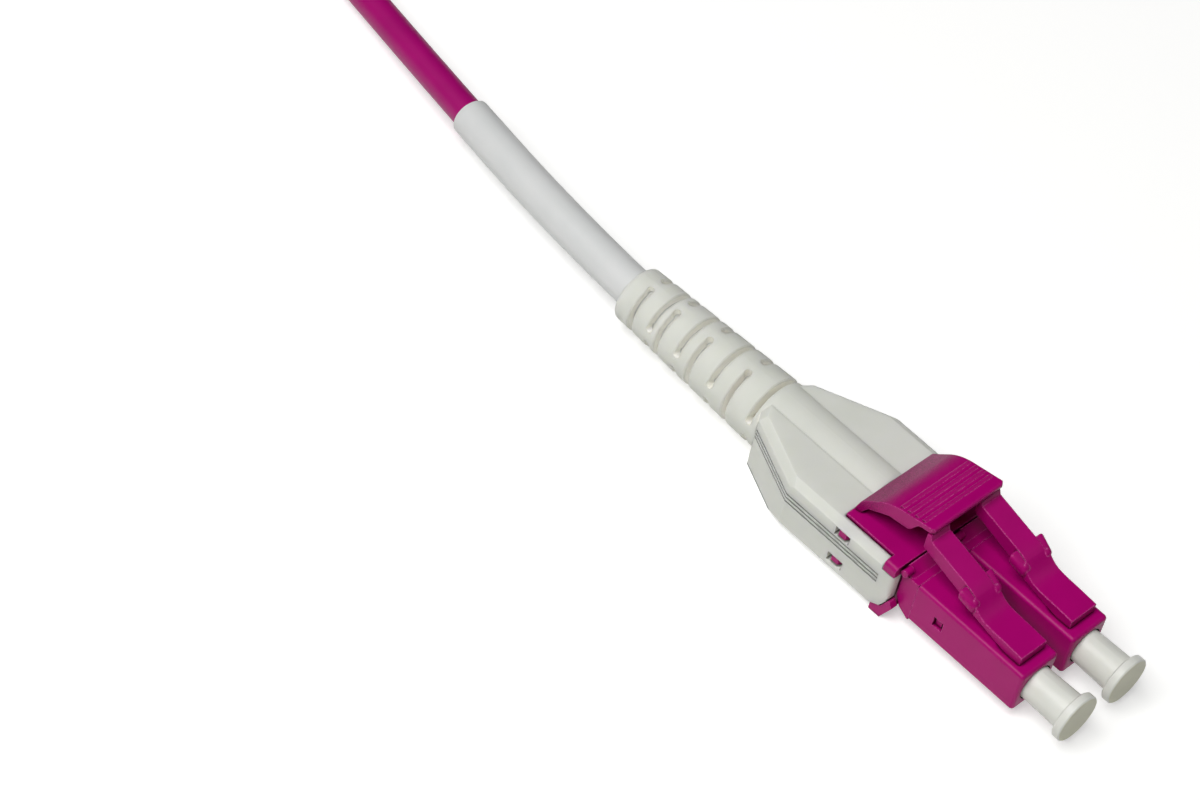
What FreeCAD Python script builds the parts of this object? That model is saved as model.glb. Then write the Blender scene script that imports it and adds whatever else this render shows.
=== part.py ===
"""Duplex LC fibre connector with a one-piece boot housing, a short cable and its put-away hank.

All lengths are millimetres. The part frame has its origin under the middle of the connector, on
the surface that it lies on: +Z is the latch side, -Y is the mating end with the two ferrules and
+Y is the cable end. The pieces are drawn in a connector frame, whose Y = 0 is the front face of
the plugs and whose Z = 0 is the common axis of plugs, crimp and boot, and their Placements carry
them into the part frame.
"""
import FreeCAD, Part
import math
import os
import re

import Sketcher

SIZES = [
    # spacing and the two plugs
    ("pitch", 6.25, "distance between the two ferrule axes"),
    ("plug_width", 4.42, "square section of a plug"),
    ("plug_length", 11.75, "front housing of a plug, from its face to the split line"),
    ("plug_edge", 0.35, "rounding of a plug's front edges"),
    ("mouth_radius", 1.75, "round mouth in the plug's face"),
    ("mouth_depth", 3.0, "depth of the mouth"),
    ("shoulder_wall", 0.6, "wall that the ferrule flange seats on"),
    ("shoulder_hole", 0.95, "radius of the hole through that wall"),
    ("chamber_radius", 1.45, "radius of the spring chamber"),
    ("snap_window", 1.0, "side of the square snap window in the plug's flank"),
    ("snap_behind", 0.3, "middle of that window behind the spigot's front end"),
    ("snap_fit", 0.08, "clearance of the snap in its window"),
    ("snap_sink", 0.3, "how deep the snap lies below the flank"),
    # latch arm
    ("latch_width", 3.1, "width of a latch arm"),
    ("tail_width", 2.3, "width of its tail"),
    ("latch_start", 1.1, "front edge of the latch behind the face"),
    ("latch_root", 1.5, "length over which the latch grows out of the plug"),
    ("latch_front_rise", 0.9, "thickness of the latch at its front edge"),
    ("latch_arm_top", 1.5, "top of the arm over the plug where it starts to swell"),
    ("latch_arm_under", 1.5, "underside of the arm over the plug at its rear end"),
    ("latch_swell", 1.6, "rounding of the hollow between arm and tail"),
    ("tail_high", 2.5, "top of the tail over the plug at its start"),
    ("tail_thick", 1.35, "thickness of the tail"),
    ("tail_seat", 0.6, "share of that thickness with which the tail starts inside the arm"),
    ("tail_slope", 17.5, "slope of the tail in degrees"),
    ("tail_brow", 0.45, "rounding where the tail's top begins"),
    ("tail_step", 0.5, "step at the tail's rear end, which the trigger presses"),
    ("tail_step_length", 0.6, "length of that step"),
    ("tail_step_run", 0.2, "length over which that step rises"),
    ("tail_round", 0.25, "rounding of the tail's rear end"),
    ("ear_reach", 0.55, "how far the locking ears stand out at each side"),
    ("ear_low", 1.05, "underside of the ears over the plug"),
    ("ear_high", 2.7, "top of the ears over the plug"),
    ("ear_round", 0.3, "rounding of the ears' top"),
    # rear body of a plug
    ("rear_flat", 0.75, "length of its top in line with the plug's top"),
    ("rear_rise", 0.75, "rise of its top behind that"),
    ("rear_shoulder", 0.5, "rounding of that top along its sides"),
    ("rear_block", 1.75, "length of the rear body that shows"),
    ("rear_round", 1.6, "size of its sloped lower rear corner"),
    ("rear_bend", 0.6, "where that slope bends"),
    ("neck_radius", 1.45, "neck held by the frame halves"),
    ("neck_length", 1.75, "length of the neck"),
    ("collar_radius", 1.85, "collar behind the frame's front wall"),
    ("collar_length", 1.2, "length of the collar"),
    ("collar_bite", 0.45, "how deep a collar sits in the frame's side wall"),
    ("spigot_radius", 1.38, "spigot that closes the spring chamber"),
    ("spigot_reach", 3.1, "how far the spigot reaches into the plug"),
    ("spigot_blend", 0.2, "how far the turned core runs into the block at both ends"),
    ("fibre_bore", 0.6, "radius of the bore for the buffered fibre"),
    ("knuckle_radius", 0.36, "small round clip end at the rear body's upper corner"),
    ("knuckle_height", 0.5, "its middle over the plug's top"),
    ("knuckle_reach", 0.45, "how far it stands out beside the rear body"),
    # ferrule, flange and spring
    ("ferrule_radius", 0.625, "standard ferrule"),
    ("ferrule_reach", 2.3, "ferrule ahead of the plug's face"),
    ("ferrule_length", 6.9, "whole ferrule"),
    ("ferrule_tip", 0.47, "radius of the ferrule at its tip"),
    ("ferrule_chamfer", 0.35, "length of the chamfer behind the tip"),
    ("flange_radius", 1.25, "flange pressed on the ferrule"),
    ("flange_length", 1.35, "thick part of the flange"),
    ("flange_edge", 0.2, "chamfer of its front edge"),
    ("flange_tube_radius", 0.85, "tube behind the flange"),
    ("flange_tube_length", 2.3, "length of that tube"),
    ("fibre_play", 0.05, "play of the buffered fibre in that tube"),
    ("seat_gap", 0.05, "gap between flange and shoulder wall"),
    ("float_travel", 0.6, "how far a ferrule floats back"),
    ("spring_wire", 0.24, "spring wire diameter"),
    ("spring_radius", 1.12, "mean radius of the spring"),
    ("spring_coils", 4.5, "turns of the spring"),
    ("spring_gap", 0.02, "gap between the spring's ends and their seats"),
    ("buffer_radius", 0.45, "buffered fibre"),
    # dust caps
    ("cap_reach", 4.73, "cap ahead of the plug's face"),
    ("cap_radius", 1.62, "cap barrel at the plug"),
    ("cap_flare", 0.1, "growth of the barrel's radius towards the grip disc"),
    ("cap_disc_radius", 2.3, "grip disc"),
    ("cap_disc_thick", 0.85, "thickness of the disc"),
    ("cap_edge", 0.12, "chamfer of its edges"),
    ("cap_seat", 2.4, "how far the cap reaches into the plug's mouth"),
    ("cap_bore_fit", 0.03, "running clearance between ferrule and cap bore"),
    ("cap_end_wall", 1.2, "closed end of the cap"),
    # boot housing
    ("housing_width", 12.8, "width over the flat sides"),
    ("housing_below", 3.4, "underside below the axis, which is the axis height over the surface"),
    ("housing_above", 2.9, "flat top above the axis"),
    ("side_bevel", 0.75, "bevel between sides and flat top"),
    ("side_bevel_height", 0.45, "height of that bevel"),
    ("wing_bevel", 0.675, "bevel of the upper edges of the wings"),
    ("bottom_bevel", 0.9, "bevel between sides and underside"),
    ("side_wall", 1.0, "wall at each side"),
    ("roof_wall", 0.8, "wall at the top and the underside"),
    ("tongue_top", 2.05, "top edge of a tongue above the axis"),
    ("tongue_corner", 1.6, "height and length of the sloped lower corner of a tongue"),
    ("tongue_bend", 0.56, "where that slope bends"),
    ("wing_end_half", 3.4, "half width at the end of the taper"),
    ("wing_blend", 0.7, "how far the wings run on into the boot"),
    ("boot_front_radius", 3.39, "round boot and central ridge"),
    ("boot_rear_radius", 2.75, "radius at the rear end"),
    ("boot_bore", 2.1, "bore of the boot"),
    ("boot_rim", 0.35, "rounding of the rear rim"),
    ("tongue_round", 0.45, "rounding of a tongue's front edge"),
    ("slot_width", 0.45, "axial width of a flexing slot"),
    ("slot_flare", 0.18, "how much wider a slot is at the boot's surface, at each side"),
    ("slot_flare_depth", 0.22, "depth of that flare"),
    ("slot_eye", 0.34, "radius of the round ends of the slots"),
    ("slot_angle", 145.0, "how far a slot runs round the boot, in degrees"),
    ("slot_pairs", 4, "pairs of slots above and below; as many lie at the sides"),
    ("slot_pitch", 4.95, "distance to the next slot of the same set"),
    ("slot_shrink", 0.7, "how much each further distance is shorter"),
    ("slot_stagger", 2.8, "how far the side slots lie behind the upper ones"),
    ("slot_stagger_shrink", 0.2, "how much each further stagger is shorter"),
    ("groove_width", 0.2, "grip groove in the sides"),
    ("groove_depth", 0.3, "depth of a grip groove"),
    ("groove_pitch", 0.42, "distance between the grip grooves"),
    ("groove_height", 0.15, "lowest grip groove above the axis"),
    ("window_length", 1.65, "snap window in a side"),
    ("window_height", 0.95, "height of a snap window"),
    ("window_high", 1.35, "lower edge of the upper window above the axis"),
    ("window_low", 1.0, "upper edge of the lower window below the axis"),
    # frame halves and trigger
    ("frame_gap", 0.08, "clearance between the frame and the housing"),
    ("frame_setback", 0.1, "gap between the frame and the rear bodies of the plugs"),
    ("neck_play", 0.05, "play of the necks and the post in the frame"),
    ("frame_wall", 0.8, "wall of the frame halves"),
    ("deck_top", 3.2, "top of the deck above the axis"),
    ("deck_ear_round", 0.45, "rounding of the outer edges of the ears on the deck"),
    ("frame_rear_wall", 1.2, "wall that holds the crimp post"),
    ("tab_length", 1.2, "snap tab seen in a window"),
    ("tab_height", 0.7, "height of a snap tab"),
    ("tab_reach", 0.95, "how far a snap tab stands out"),
    ("tab_nose", 0.15, "how far its front edge stands out"),
    ("tab_ramp", 0.45, "length of its sloped front"),
    ("tab_root", 0.2, "how deep a snap tab is rooted in the frame"),
    ("bumper_play", 0.05, "how far the bumper stays above the surface"),
    ("bumper_slope", 0.9, "length of the bumper's sloped underside"),
    ("bumper_nose", 0.6, "height of the bumper's front face below its top"),
    ("bumper_nose_run", 0.35, "length of its sloped upper front"),
    ("bumper_inset", 0.15, "how far the bumper stays inside the housing's sides"),
    ("plug_play", 0.15, "room for the plugs in the bumper"),
    ("trigger_half", 4.35, "half width of the trigger"),
    ("trigger_root_half", 4.6, "half width of its root on the deck"),
    ("root_flare", 1.3, "length over which the trigger widens to its root"),
    ("root_neck", 0.9, "length of the full root"),
    ("root_lead", 0.3, "how much narrower the flare ends than the root"),
    ("trigger_top", 7.8, "lip of the trigger above the axis, its highest line"),
    ("trigger_rise", 1.0, "rise of the plate from the bend to the lip"),
    ("trigger_flat", 4.7, "from the lip to the bend"),
    ("trigger_bend", 5.0, "rounding of the bend"),
    ("trigger_root_rise", 1.25, "height of the root over the deck"),
    ("trigger_root_under", 1.0, "height of the hollow below the root over the deck"),
    ("trigger_root_round", 0.8, "rounding over the root"),
    ("trigger_root_lean", 0.4, "how far the root leans forward over that height"),
    ("trigger_gap", 0.02, "gap between the root and the deck"),
    ("trigger_lip", 0.5, "thickness of the front lip"),
    ("trigger_lip_reach", 1.5, "length of the thin lip ahead of the skirts"),
    ("trigger_lip_round", 0.25, "rounding of the lip's upper edge"),
    ("skirt_ramp", 0.75, "length over which the skirts reach their depth"),
    ("skirt_front_drop", 2.05, "front of the skirts below the trigger's top"),
    ("skirt_rear_drop", 2.45, "rear of the skirts below the trigger's top"),
    ("skirt_round", 0.7, "rounding of the skirts' underside"),
    ("trigger_skin", 0.85, "thickness of the plate between the skirts"),
    ("hollow_share", 0.35, "share of the way from bend to root that is hollow"),
    ("skirt_width", 0.9, "width of the side skirts under the trigger"),
    ("rib_radius", 0.24, "round grip ribs on the trigger"),
    ("rib_sink", 0.12, "how deep the middle of a rib lies under the plate's top"),
    ("rib_pitch", 0.77, "distance between grip ribs"),
    ("rib_total", 4, "number of grip ribs"),
    # crimp and cable
    ("post_radius", 1.2, "crimp post"),
    ("post_bore", 0.8, "its bore"),
    ("post_flange_radius", 1.5, "its flange inside the frame"),
    ("post_flange_length", 0.9, "length of that flange"),
    ("ring_outer", 1.85, "outer radius of the crimp ring"),
    ("ring_gap", 0.05, "room for the yarn between post and ring"),
    ("ring_edge", 0.15, "chamfer of the crimp ring"),
    ("cable_radius", 1.5, "round duplex cable"),
    ("sleeve_outer", 1.89, "outer radius of the cable sleeve"),
    ("sleeve_inner", 1.56, "inner radius of the sleeve"),
    ("sleeve_length", 39.6, "length of the sleeve along the cable"),
    # put-away hank
    ("fold_radius", 9.0, "middle line of the innermost folds of the hank"),
    ("fold_run", 24.0, "straight length between the folds"),
    ("fold_lift", 0.5, "thickness of the ties that the hank lies on"),
    ("turns_wide", 2, "turns side by side"),
    ("turns_high", 4, "turns on top of each other"),
    ("hank_x", -2.9, "middle of the hank beside the connector's axis"),
    ("hank_y", 134.5, "middle of the hank behind the plug's face"),
    ("tie_width", 5.0, "width of a tie"),
    ("tie_gap", 0.05, "gap between a tie and the hank's flat sides"),
]

# Stations of what lies behind the plugs, measured back from the rear end of their rear bodies.
STATIONS = [
    ("tongue_front", 0.1, "front end of the side tongues"),
    ("tongue_shoulder", 1.45, "where the tongue steps up to the full side"),
    ("deck_rear", 6.9, "front edge of the housing's flat top"),
    ("wing_break", 12.3, "where the wings start to taper"),
    ("wing_end", 18.9, "rear end of the taper"),
    ("cavity_rear", 16.1, "rear end of the cavity"),
    ("boot_base", 20.3, "where the boot starts to taper"),
    ("boot_end", 37.1, "rear end of the boot"),
    ("slot_first", 20.05, "first slot"),
    ("groove_front", 1.6, "front end of the grip grooves"),
    ("window_rear", 6.8, "rear edge of the snap windows"),
    ("bumper_front", -0.5, "front of the lower half below the tongues"),
    ("trigger_front", -0.9, "front edge of the trigger"),
    ("rib_front", 0.4, "first grip rib"),
    ("post_end", 21.7, "rear end of the post"),
    ("ring_front", 17.4, "front end of the crimp ring"),
    ("cable_start", 22.1, "front end of the cable jacket"),
    ("sleeve_front", 22.9, "front end of the sleeve, inside the boot"),
]

# Stations of the latch, measured back from the plugs' split line.
SPLIT_STATIONS = [
    ("latch_arm_end", -5.85, "where the arm starts to swell"),
    ("tail_start", -4.45, "where the tail's top begins"),
    ("latch_wide_end", -3.3, "rear end of the arm's full width"),
    ("tail_end", 1.4, "rear end of the tail"),
    ("ear_front", -4.3, "front of the ears"),
    ("ear_rear", -3.45, "rear of the ears, which lock in the port"),
]

# Route of the cable's middle line in the connector frame, chosen by hand: out of the boot in a
# straight line, then down to the surface and on to the hank.
CABLE_ROUTE = [
    (0.0, 35.6, 0.0),
    (0.0, 50.0, 0.0),
    (1.2, 64.5, -0.1),
    (3.6, 79.0, -0.6),
    (6.0, 91.7, -1.3),
    (8.2, 103.5, -1.8),
    (9.1, 114.0, -1.9),
]

doc = FreeCAD.newDocument("lc_fibre_connector")
sheet = doc.addObject("Spreadsheet::Sheet", "Sizes")
for row, (alias, size, note) in enumerate(SIZES + STATIONS + SPLIT_STATIONS, start=1):
    sheet.set(f"A{row}", alias.replace("_", " "))
    sheet.set(f"B{row}", str(size))
    sheet.setAlias(f"B{row}", alias)
    sheet.set(f"C{row}", note)
doc.recompute()

READ_AS = {alias: f"Sizes.{alias}" for alias, _size, _note in SIZES}
READ_AS.update({alias: f"(Sizes.plug_length + Sizes.rear_block + Sizes.{alias})"
                for alias, _size, _note in STATIONS})
READ_AS.update({alias: f"(Sizes.plug_length + Sizes.{alias})" for alias, _size, _note in SPLIT_STATIONS})
WORD = re.compile(r"[A-Za-z_][A-Za-z_0-9]*")


def tied(formula):
    """Turns a formula in plain names of sizes and stations into one that reads the sheet."""
    return WORD.sub(lambda m: READ_AS.get(m.group(0), m.group(0)), str(formula))


def number(formula):
    """Value of a formula in size names."""
    found = sheet.evalExpression(tied(formula))
    return float(getattr(found, "Value", found))


def bind(piece, **formulas):
    """Binds properties of an object to formulas in size names."""
    for name, formula in formulas.items():
        piece.setExpression(name, tied(formula))
    return piece


# Middle of the connector along Y, in the connector frame: half way from cap to boot end.
MIDDLE = "(boot_end - cap_reach) / 2"


def seat(piece, side="0", back="0", up="0"):
    """Placement that carries a piece from the connector frame into the part frame."""
    piece.setExpression(".Placement.Base.x", tied(side))
    piece.setExpression(".Placement.Base.y", tied(f"{back} - {MIDDLE}"))
    piece.setExpression(".Placement.Base.z", tied(f"housing_below + {up}"))
    return piece


def new_body(name, side="0"):
    """A body of its own for one sub-part, seated in the part frame."""
    body = doc.addObject("PartDesign::Body", name)
    body.Label = name
    return seat(body, side)


def plane(body, role):
    """One of a body's own origin planes or axes."""
    return next(f for f in body.Origin.OriginFeatures if f.Role == role)


def sketch_on(body, role, offset="0"):
    """A sketch on an origin plane of its body, moved along the plane's normal."""
    sketch = body.newObject("Sketcher::SketchObject", "Outline")
    sketch.AttachmentSupport = (plane(body, role), [""])
    sketch.MapMode = "FlatFace"
    if offset != "0":
        sketch.setExpression(".AttachmentOffset.Base.z", tied(offset))
    return sketch


def pin_point(sketch, edge, end, across, along):
    """Holds one end of an edge at a place that the sheet gives."""
    for kind, formula in (("DistanceX", across), ("DistanceY", along)):
        here = number(formula)
        index = sketch.addConstraint(Sketcher.Constraint(kind, -1, 1, edge, end, here))
        if WORD.search(str(formula)):
            sketch.setExpression(f"Constraints[{index}]", tied(formula))


def outline(sketch, corners):
    """Closed outline of straight edges through corners given as pairs of formulas."""
    first = sketch.GeometryCount
    places = [FreeCAD.Vector(number(a), number(b), 0) for a, b in corners]
    total = len(corners)
    for i in range(total):
        sketch.addGeometry(Part.LineSegment(places[i], places[(i + 1) % total]))
    for i in range(total):
        sketch.addConstraint(Sketcher.Constraint("Coincident", first + i, 2, first + (i + 1) % total, 1))
        pin_point(sketch, first + i, 1, *corners[i])
    return sketch


def box_outline(sketch, left, right, low, high):
    """Rectangle between four formulas."""
    return outline(sketch, [(left, low), (right, low), (right, high), (left, high)])


def disc(sketch, radius, across="0", along="0"):
    """Circle whose centre and radius the sheet gives."""
    middle = FreeCAD.Vector(number(across), number(along), 0)
    ring = sketch.addGeometry(Part.Circle(middle, FreeCAD.Vector(0, 0, 1), number(radius)))
    pin_point(sketch, ring, 3, across, along)
    index = sketch.addConstraint(Sketcher.Constraint("Radius", ring, number(radius)))
    sketch.setExpression(f"Constraints[{index}]", tied(radius))
    return sketch


def feature(body, kind, sketch, **settings):
    """A PartDesign feature made from a sketch, with plain settings and bound formulas."""
    made = body.newObject("PartDesign::" + kind, kind)
    made.Profile = sketch
    for name, setting in settings.items():
        if isinstance(setting, str) and name in ("Length", "Length2", "Angle"):
            made.setExpression(name, tied(setting))
        else:
            setattr(made, name, setting)
    return made


def pad(body, sketch, length, symmetric=False, reverse=False):
    """Extrusion of a sketch: along the plane's normal, or half to each side."""
    side = "Symmetric" if symmetric else "One side"
    return feature(body, "Pad", sketch, SideType=side, Length=length, Reversed=reverse)


def cut(body, sketch, length=None, symmetric=False, reverse=False):
    """Pocket of a sketch, which has to take material away."""
    doc.recompute()
    before = body.Shape.Volume
    side = "Symmetric" if symmetric else "One side"
    if length is None:
        made = feature(body, "Pocket", sketch, SideType=side, Type="ThroughAll", Reversed=reverse)
    else:
        made = feature(body, "Pocket", sketch, SideType=side, Length=length, Reversed=reverse)
    doc.recompute()
    if not body.Shape.Volume < before:
        raise ValueError(f"a pocket of {body.Label} cuts nothing")
    return made


def turn(body, kind, sketch, angle="360", symmetric=False):
    """Revolution or groove about the body's Y axis."""
    made = feature(body, kind, sketch, Midplane=symmetric)
    made.ReferenceAxis = (plane(body, "Y_Axis"), [""])
    made.setExpression("Angle", tied(angle))
    return made


def edges_where(shape, test):
    """Names of the edges whose middle point passes a test."""
    found = []
    for i, edge in enumerate(shape.Edges, start=1):
        middle = edge.valueAt((edge.FirstParameter + edge.LastParameter) / 2)
        if test(middle, edge):
            found.append(f"Edge{i}")
    return found


def soften(body, kind, size, test):
    """Fillet or chamfer of a body's edges that pass a test."""
    doc.recompute()
    base = body.Tip
    names = edges_where(base.Shape, test)
    made = body.newObject("PartDesign::" + kind, kind)
    made.Base = (base, names)
    bind(made, **{"Radius" if kind == "Fillet" else "Size": size})
    doc.recompute()
    return made


def near(value, formula, reach=0.02):
    """Whether a coordinate lies at the place that a formula gives."""
    return abs(value - number(formula)) < reach


def along_x(edge):
    """Whether an edge is straight and runs along X."""
    return edge.Curve.TypeId == "Part::GeomLine" and abs(abs(edge.Curve.Direction.x) - 1) < 1e-6


def along_y(edge):
    """Whether an edge is straight and runs along Y."""
    return edge.Curve.TypeId == "Part::GeomLine" and abs(abs(edge.Curve.Direction.y) - 1) < 1e-6


def turned(name, profile, side="0"):
    """Body turned about its Y axis from a closed outline of (y, radius) formulas."""
    body = new_body(name, side)
    turn(body, "Revolution", outline(sketch_on(body, "YZ_Plane"), profile))
    return body


# ---------------------------------------------------------------- plugs


SNAP_AT = "(plug_length - spigot_reach + snap_behind)"


def plug_housing(name, side):
    """Front housing of a plug: square block, stepped bore, snap windows in its flanks."""
    body = new_body(name, side)
    half = "plug_width / 2"
    pad(body, box_outline(sketch_on(body, "XZ_Plane"), f"-{half}", half, f"-{half}", half),
        "plug_length", reverse=True)
    soften(body, "Fillet", "plug_edge", lambda p, e: near(p.y, "0") or along_y(e))
    cut(body, disc(sketch_on(body, "XZ_Plane"), "mouth_radius"), "mouth_depth")
    cut(body, disc(sketch_on(body, "XZ_Plane"), "shoulder_hole"), "mouth_depth + shoulder_wall")
    rear = sketch_on(body, "XZ_Plane", "-plug_length")
    cut(body, disc(rear, "chamber_radius"), "plug_length - mouth_depth - shoulder_wall", reverse=True)
    window = sketch_on(body, "YZ_Plane")
    box_outline(window, f"{SNAP_AT} - snap_window / 2", f"{SNAP_AT} + snap_window / 2",
                "-snap_window / 2", "snap_window / 2")
    cut(body, window, symmetric=True)
    return body


PLUG_TOP = "plug_width / 2"


def tail_top(at):
    """Height of the tail's sloped top at a place behind the face."""
    return f"{PLUG_TOP} + tail_high + ({at} - tail_start) * tan(tail_slope)"


def plug_latch(name, side):
    """Latch arm of a plug: cantilever from its front edge, locking ears and a narrower sloped tail."""
    body = new_body(name, side)
    arm = sketch_on(body, "YZ_Plane")
    outline(arm, [
        ("latch_start", PLUG_TOP),
        ("latch_start + latch_root", PLUG_TOP),
        ("latch_wide_end", f"{PLUG_TOP} + latch_arm_under"),
        ("latch_wide_end", tail_top("latch_wide_end")),
        ("tail_start", tail_top("tail_start")),
        ("latch_arm_end", f"{PLUG_TOP} + latch_arm_top"),
        ("latch_start", f"{PLUG_TOP} + latch_front_rise"),
    ])
    pad(body, arm, "latch_width", symmetric=True)
    soften(body, "Fillet", "latch_swell", lambda p, e: along_x(e) and near(p.y, "latch_arm_end"))
    soften(body, "Fillet", "tail_brow", lambda p, e: along_x(e) and near(p.y, "tail_start"))
    tail = sketch_on(body, "YZ_Plane")
    step = "tail_end - tail_step_length"
    outline(tail, [
        ("tail_start + tail_brow", f"{tail_top('tail_start')} - tail_thick * tail_seat"),
        ("latch_wide_end", f"{PLUG_TOP} + latch_arm_under"),
        ("tail_end", f"{tail_top('tail_end')} - tail_thick"),
        ("tail_end", f"{tail_top(step)} + tail_step"),
        (f"{step} + tail_step_run", f"{tail_top(step)} + tail_step"),
        (step, tail_top(step)),
        ("tail_start + tail_brow", tail_top("tail_start + tail_brow")),
    ])
    pad(body, tail, "tail_width", symmetric=True)
    soften(body, "Fillet", "tail_round", lambda p, e: along_x(e) and near(p.y, "tail_end"))
    ears = sketch_on(body, "YZ_Plane")
    outline(ears, [
        ("ear_rear", f"{PLUG_TOP} + ear_low"),
        ("ear_rear", f"{PLUG_TOP} + ear_high"),
        ("ear_front", f"{PLUG_TOP} + ear_high - ear_round"),
        ("ear_front", f"{PLUG_TOP} + ear_low"),
    ])
    pad(body, ears, "latch_width + 2 * ear_reach", symmetric=True)
    soften(body, "Fillet", "ear_round", lambda p, e: along_x(e) and abs(p.x) > number("latch_width / 2")
           and p.z > number(f"{PLUG_TOP} + ear_high - ear_round"))
    return body


def plug_rear(name, side):
    """Rear body of a plug: block that shows, neck, collar, spigot and fibre bore."""
    body = new_body(name, side)
    half = "plug_width / 2"
    front = "plug_length"
    end = "plug_length + rear_block"
    block = sketch_on(body, "YZ_Plane")
    outline(block, [
        (front, f"-{half}"),
        (f"{end} - rear_round", f"-{half}"),
        (f"{end} - rear_bend", f"-{half} + rear_bend"),
        (end, f"-{half} + rear_round"),
        (end, f"{half} + rear_rise"),
        (f"{front} + rear_flat", half),
        (front, half),
    ])
    pad(body, block, "plug_width", symmetric=True)
    soften(body, "Fillet", "rear_shoulder", lambda p, e: not along_x(e) and near(abs(p.x), half)
           and p.z > number(f"{half} + rear_rise / 4"))
    knuckle = disc(sketch_on(body, "YZ_Plane", f"-{half} - knuckle_reach"), "knuckle_radius",
                   f"{end} - knuckle_radius", f"{half} + knuckle_height")
    pad(body, knuckle, "knuckle_reach * 2")
    turn(body, "Revolution", outline(sketch_on(body, "YZ_Plane"), [
        (f"{front} - spigot_reach", "0"),
        (f"{front} - spigot_reach", "spigot_radius"),
        (f"{front} + spigot_blend", "spigot_radius"),
        (f"{end} - spigot_blend", "neck_radius"),
        (f"{end} + neck_length", "neck_radius"),
        (f"{end} + neck_length", "collar_radius"),
        (f"{end} + neck_length + collar_length", "collar_radius"),
        (f"{end} + neck_length + collar_length", "0"),
    ]))
    snaps = sketch_on(body, "YZ_Plane")
    reach = "snap_window / 2 - snap_fit"
    box_outline(snaps, f"{front} - spigot_reach + snap_fit / 2", f"{SNAP_AT} + {reach}",
                f"-({reach})", reach)
    pad(body, snaps, "plug_width - 2 * snap_sink", symmetric=True)
    cut(body, disc(sketch_on(body, "XZ_Plane"), "fibre_bore"), symmetric=True)
    return body


def ferrule(name, side):
    """Ceramic ferrule with a chamfered tip."""
    return turned(name, [
        ("-ferrule_reach", "0"),
        ("-ferrule_reach", "ferrule_tip"),
        ("-ferrule_reach + ferrule_chamfer", "ferrule_radius"),
        ("-ferrule_reach + ferrule_length", "ferrule_radius"),
        ("-ferrule_reach + ferrule_length", "0"),
    ], side)


FLANGE_FRONT = "(mouth_depth + shoulder_wall + seat_gap)"


def ferrule_flange(name, side):
    """Metal flange that carries the ferrule, with a tube for the spring."""
    end = f"{FLANGE_FRONT} + flange_length"
    socket = "-ferrule_reach + ferrule_length"
    return turned(name, [
        (FLANGE_FRONT, "ferrule_radius"),
        (FLANGE_FRONT, "flange_radius - flange_edge"),
        (f"{FLANGE_FRONT} + flange_edge", "flange_radius"),
        (end, "flange_radius"),
        (end, "flange_tube_radius"),
        (f"{end} + flange_tube_length", "flange_tube_radius"),
        (f"{end} + flange_tube_length", "buffer_radius + fibre_play"),
        (socket, "buffer_radius + fibre_play"),
        (socket, "ferrule_radius"),
    ], side)


def ferrule_spring(name, side):
    """Helical spring between the flange and the spigot of the rear body."""
    wire = number("spring_wire")
    radius = number("spring_radius")
    start = f"{FLANGE_FRONT} + flange_length + spring_wire / 2 + spring_gap"
    end = "plug_length - spigot_reach - spring_wire / 2 - spring_gap"
    length = number(f"{end} - ({start})")
    coils = number("spring_coils")
    helix = Part.makeHelix(length / coils, length, radius).Edges[0]
    first, last = helix.FirstParameter, helix.LastParameter
    half_turns = round(2 * coils)
    splits = [first + (last - first) * i / half_turns for i in range(1, half_turns)]
    ring = Part.Wire(Part.makeCircle(wire / 2, FreeCAD.Vector(radius, 0, 0), FreeCAD.Vector(0, 1, 0)))
    coil = Part.Wire(helix.split(splits).Edges).makePipeShell([ring], True, True)
    coil.rotate(FreeCAD.Vector(), FreeCAD.Vector(1, 0, 0), -90)
    return shaped(name, coil, side, start)


def dust_cap(name, side):
    """Flanged dust cap: tapered barrel in the plug's mouth, thin grip disc, blind bore."""
    disc_back = "-cap_reach + cap_disc_thick"
    return turned(name, [
        ("-cap_reach", "0"),
        ("-cap_reach", "cap_disc_radius - cap_edge"),
        ("-cap_reach + cap_edge", "cap_disc_radius"),
        (f"{disc_back} - cap_edge", "cap_disc_radius"),
        (disc_back, "cap_disc_radius - cap_edge"),
        (disc_back, "cap_radius + cap_flare"),
        ("0", "cap_radius"),
        ("cap_seat", "cap_radius"),
        ("cap_seat", "ferrule_radius + cap_bore_fit"),
        ("-cap_reach + cap_end_wall", "ferrule_radius + cap_bore_fit"),
        ("-cap_reach + cap_end_wall", "0"),
    ], side)


# ---------------------------------------------------------------- boot housing


# How the wings narrow towards the boot, and how far the inner taper lies ahead of the outer one, so
# that the wall keeps its thickness.
WING_SLOPE = "((housing_width / 2 - wing_end_half) / (wing_end - wing_break))"
WALL_SHIFT = "(side_wall / 2)"


def wing_outline(half="housing_width / 2"):
    """Right half of the housing's plan outline behind the deck, from front to rear."""
    return [(half, "tongue_front - 1"), (half, "wing_break"), ("wing_end_half", "wing_end"),
            ("wing_end_half - 1", "wing_end + wing_blend")]


def slot_station(i):
    """Place of the i-th slot of the upper and lower set."""
    return f"slot_first + {i} * slot_pitch - slot_shrink * {i * (i - 1) / 2}"


def side_slot_station(i):
    """Place of the i-th slot of the side set."""
    return f"{slot_station(i)} + slot_stagger - slot_stagger_shrink * {i}"


def boot_surface(at):
    """Radius of the tapered boot at a place behind the face."""
    taper = "(boot_front_radius - boot_rear_radius) / (boot_end - boot_base)"
    return f"boot_front_radius - {taper} * ({at} - boot_base)"


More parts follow.
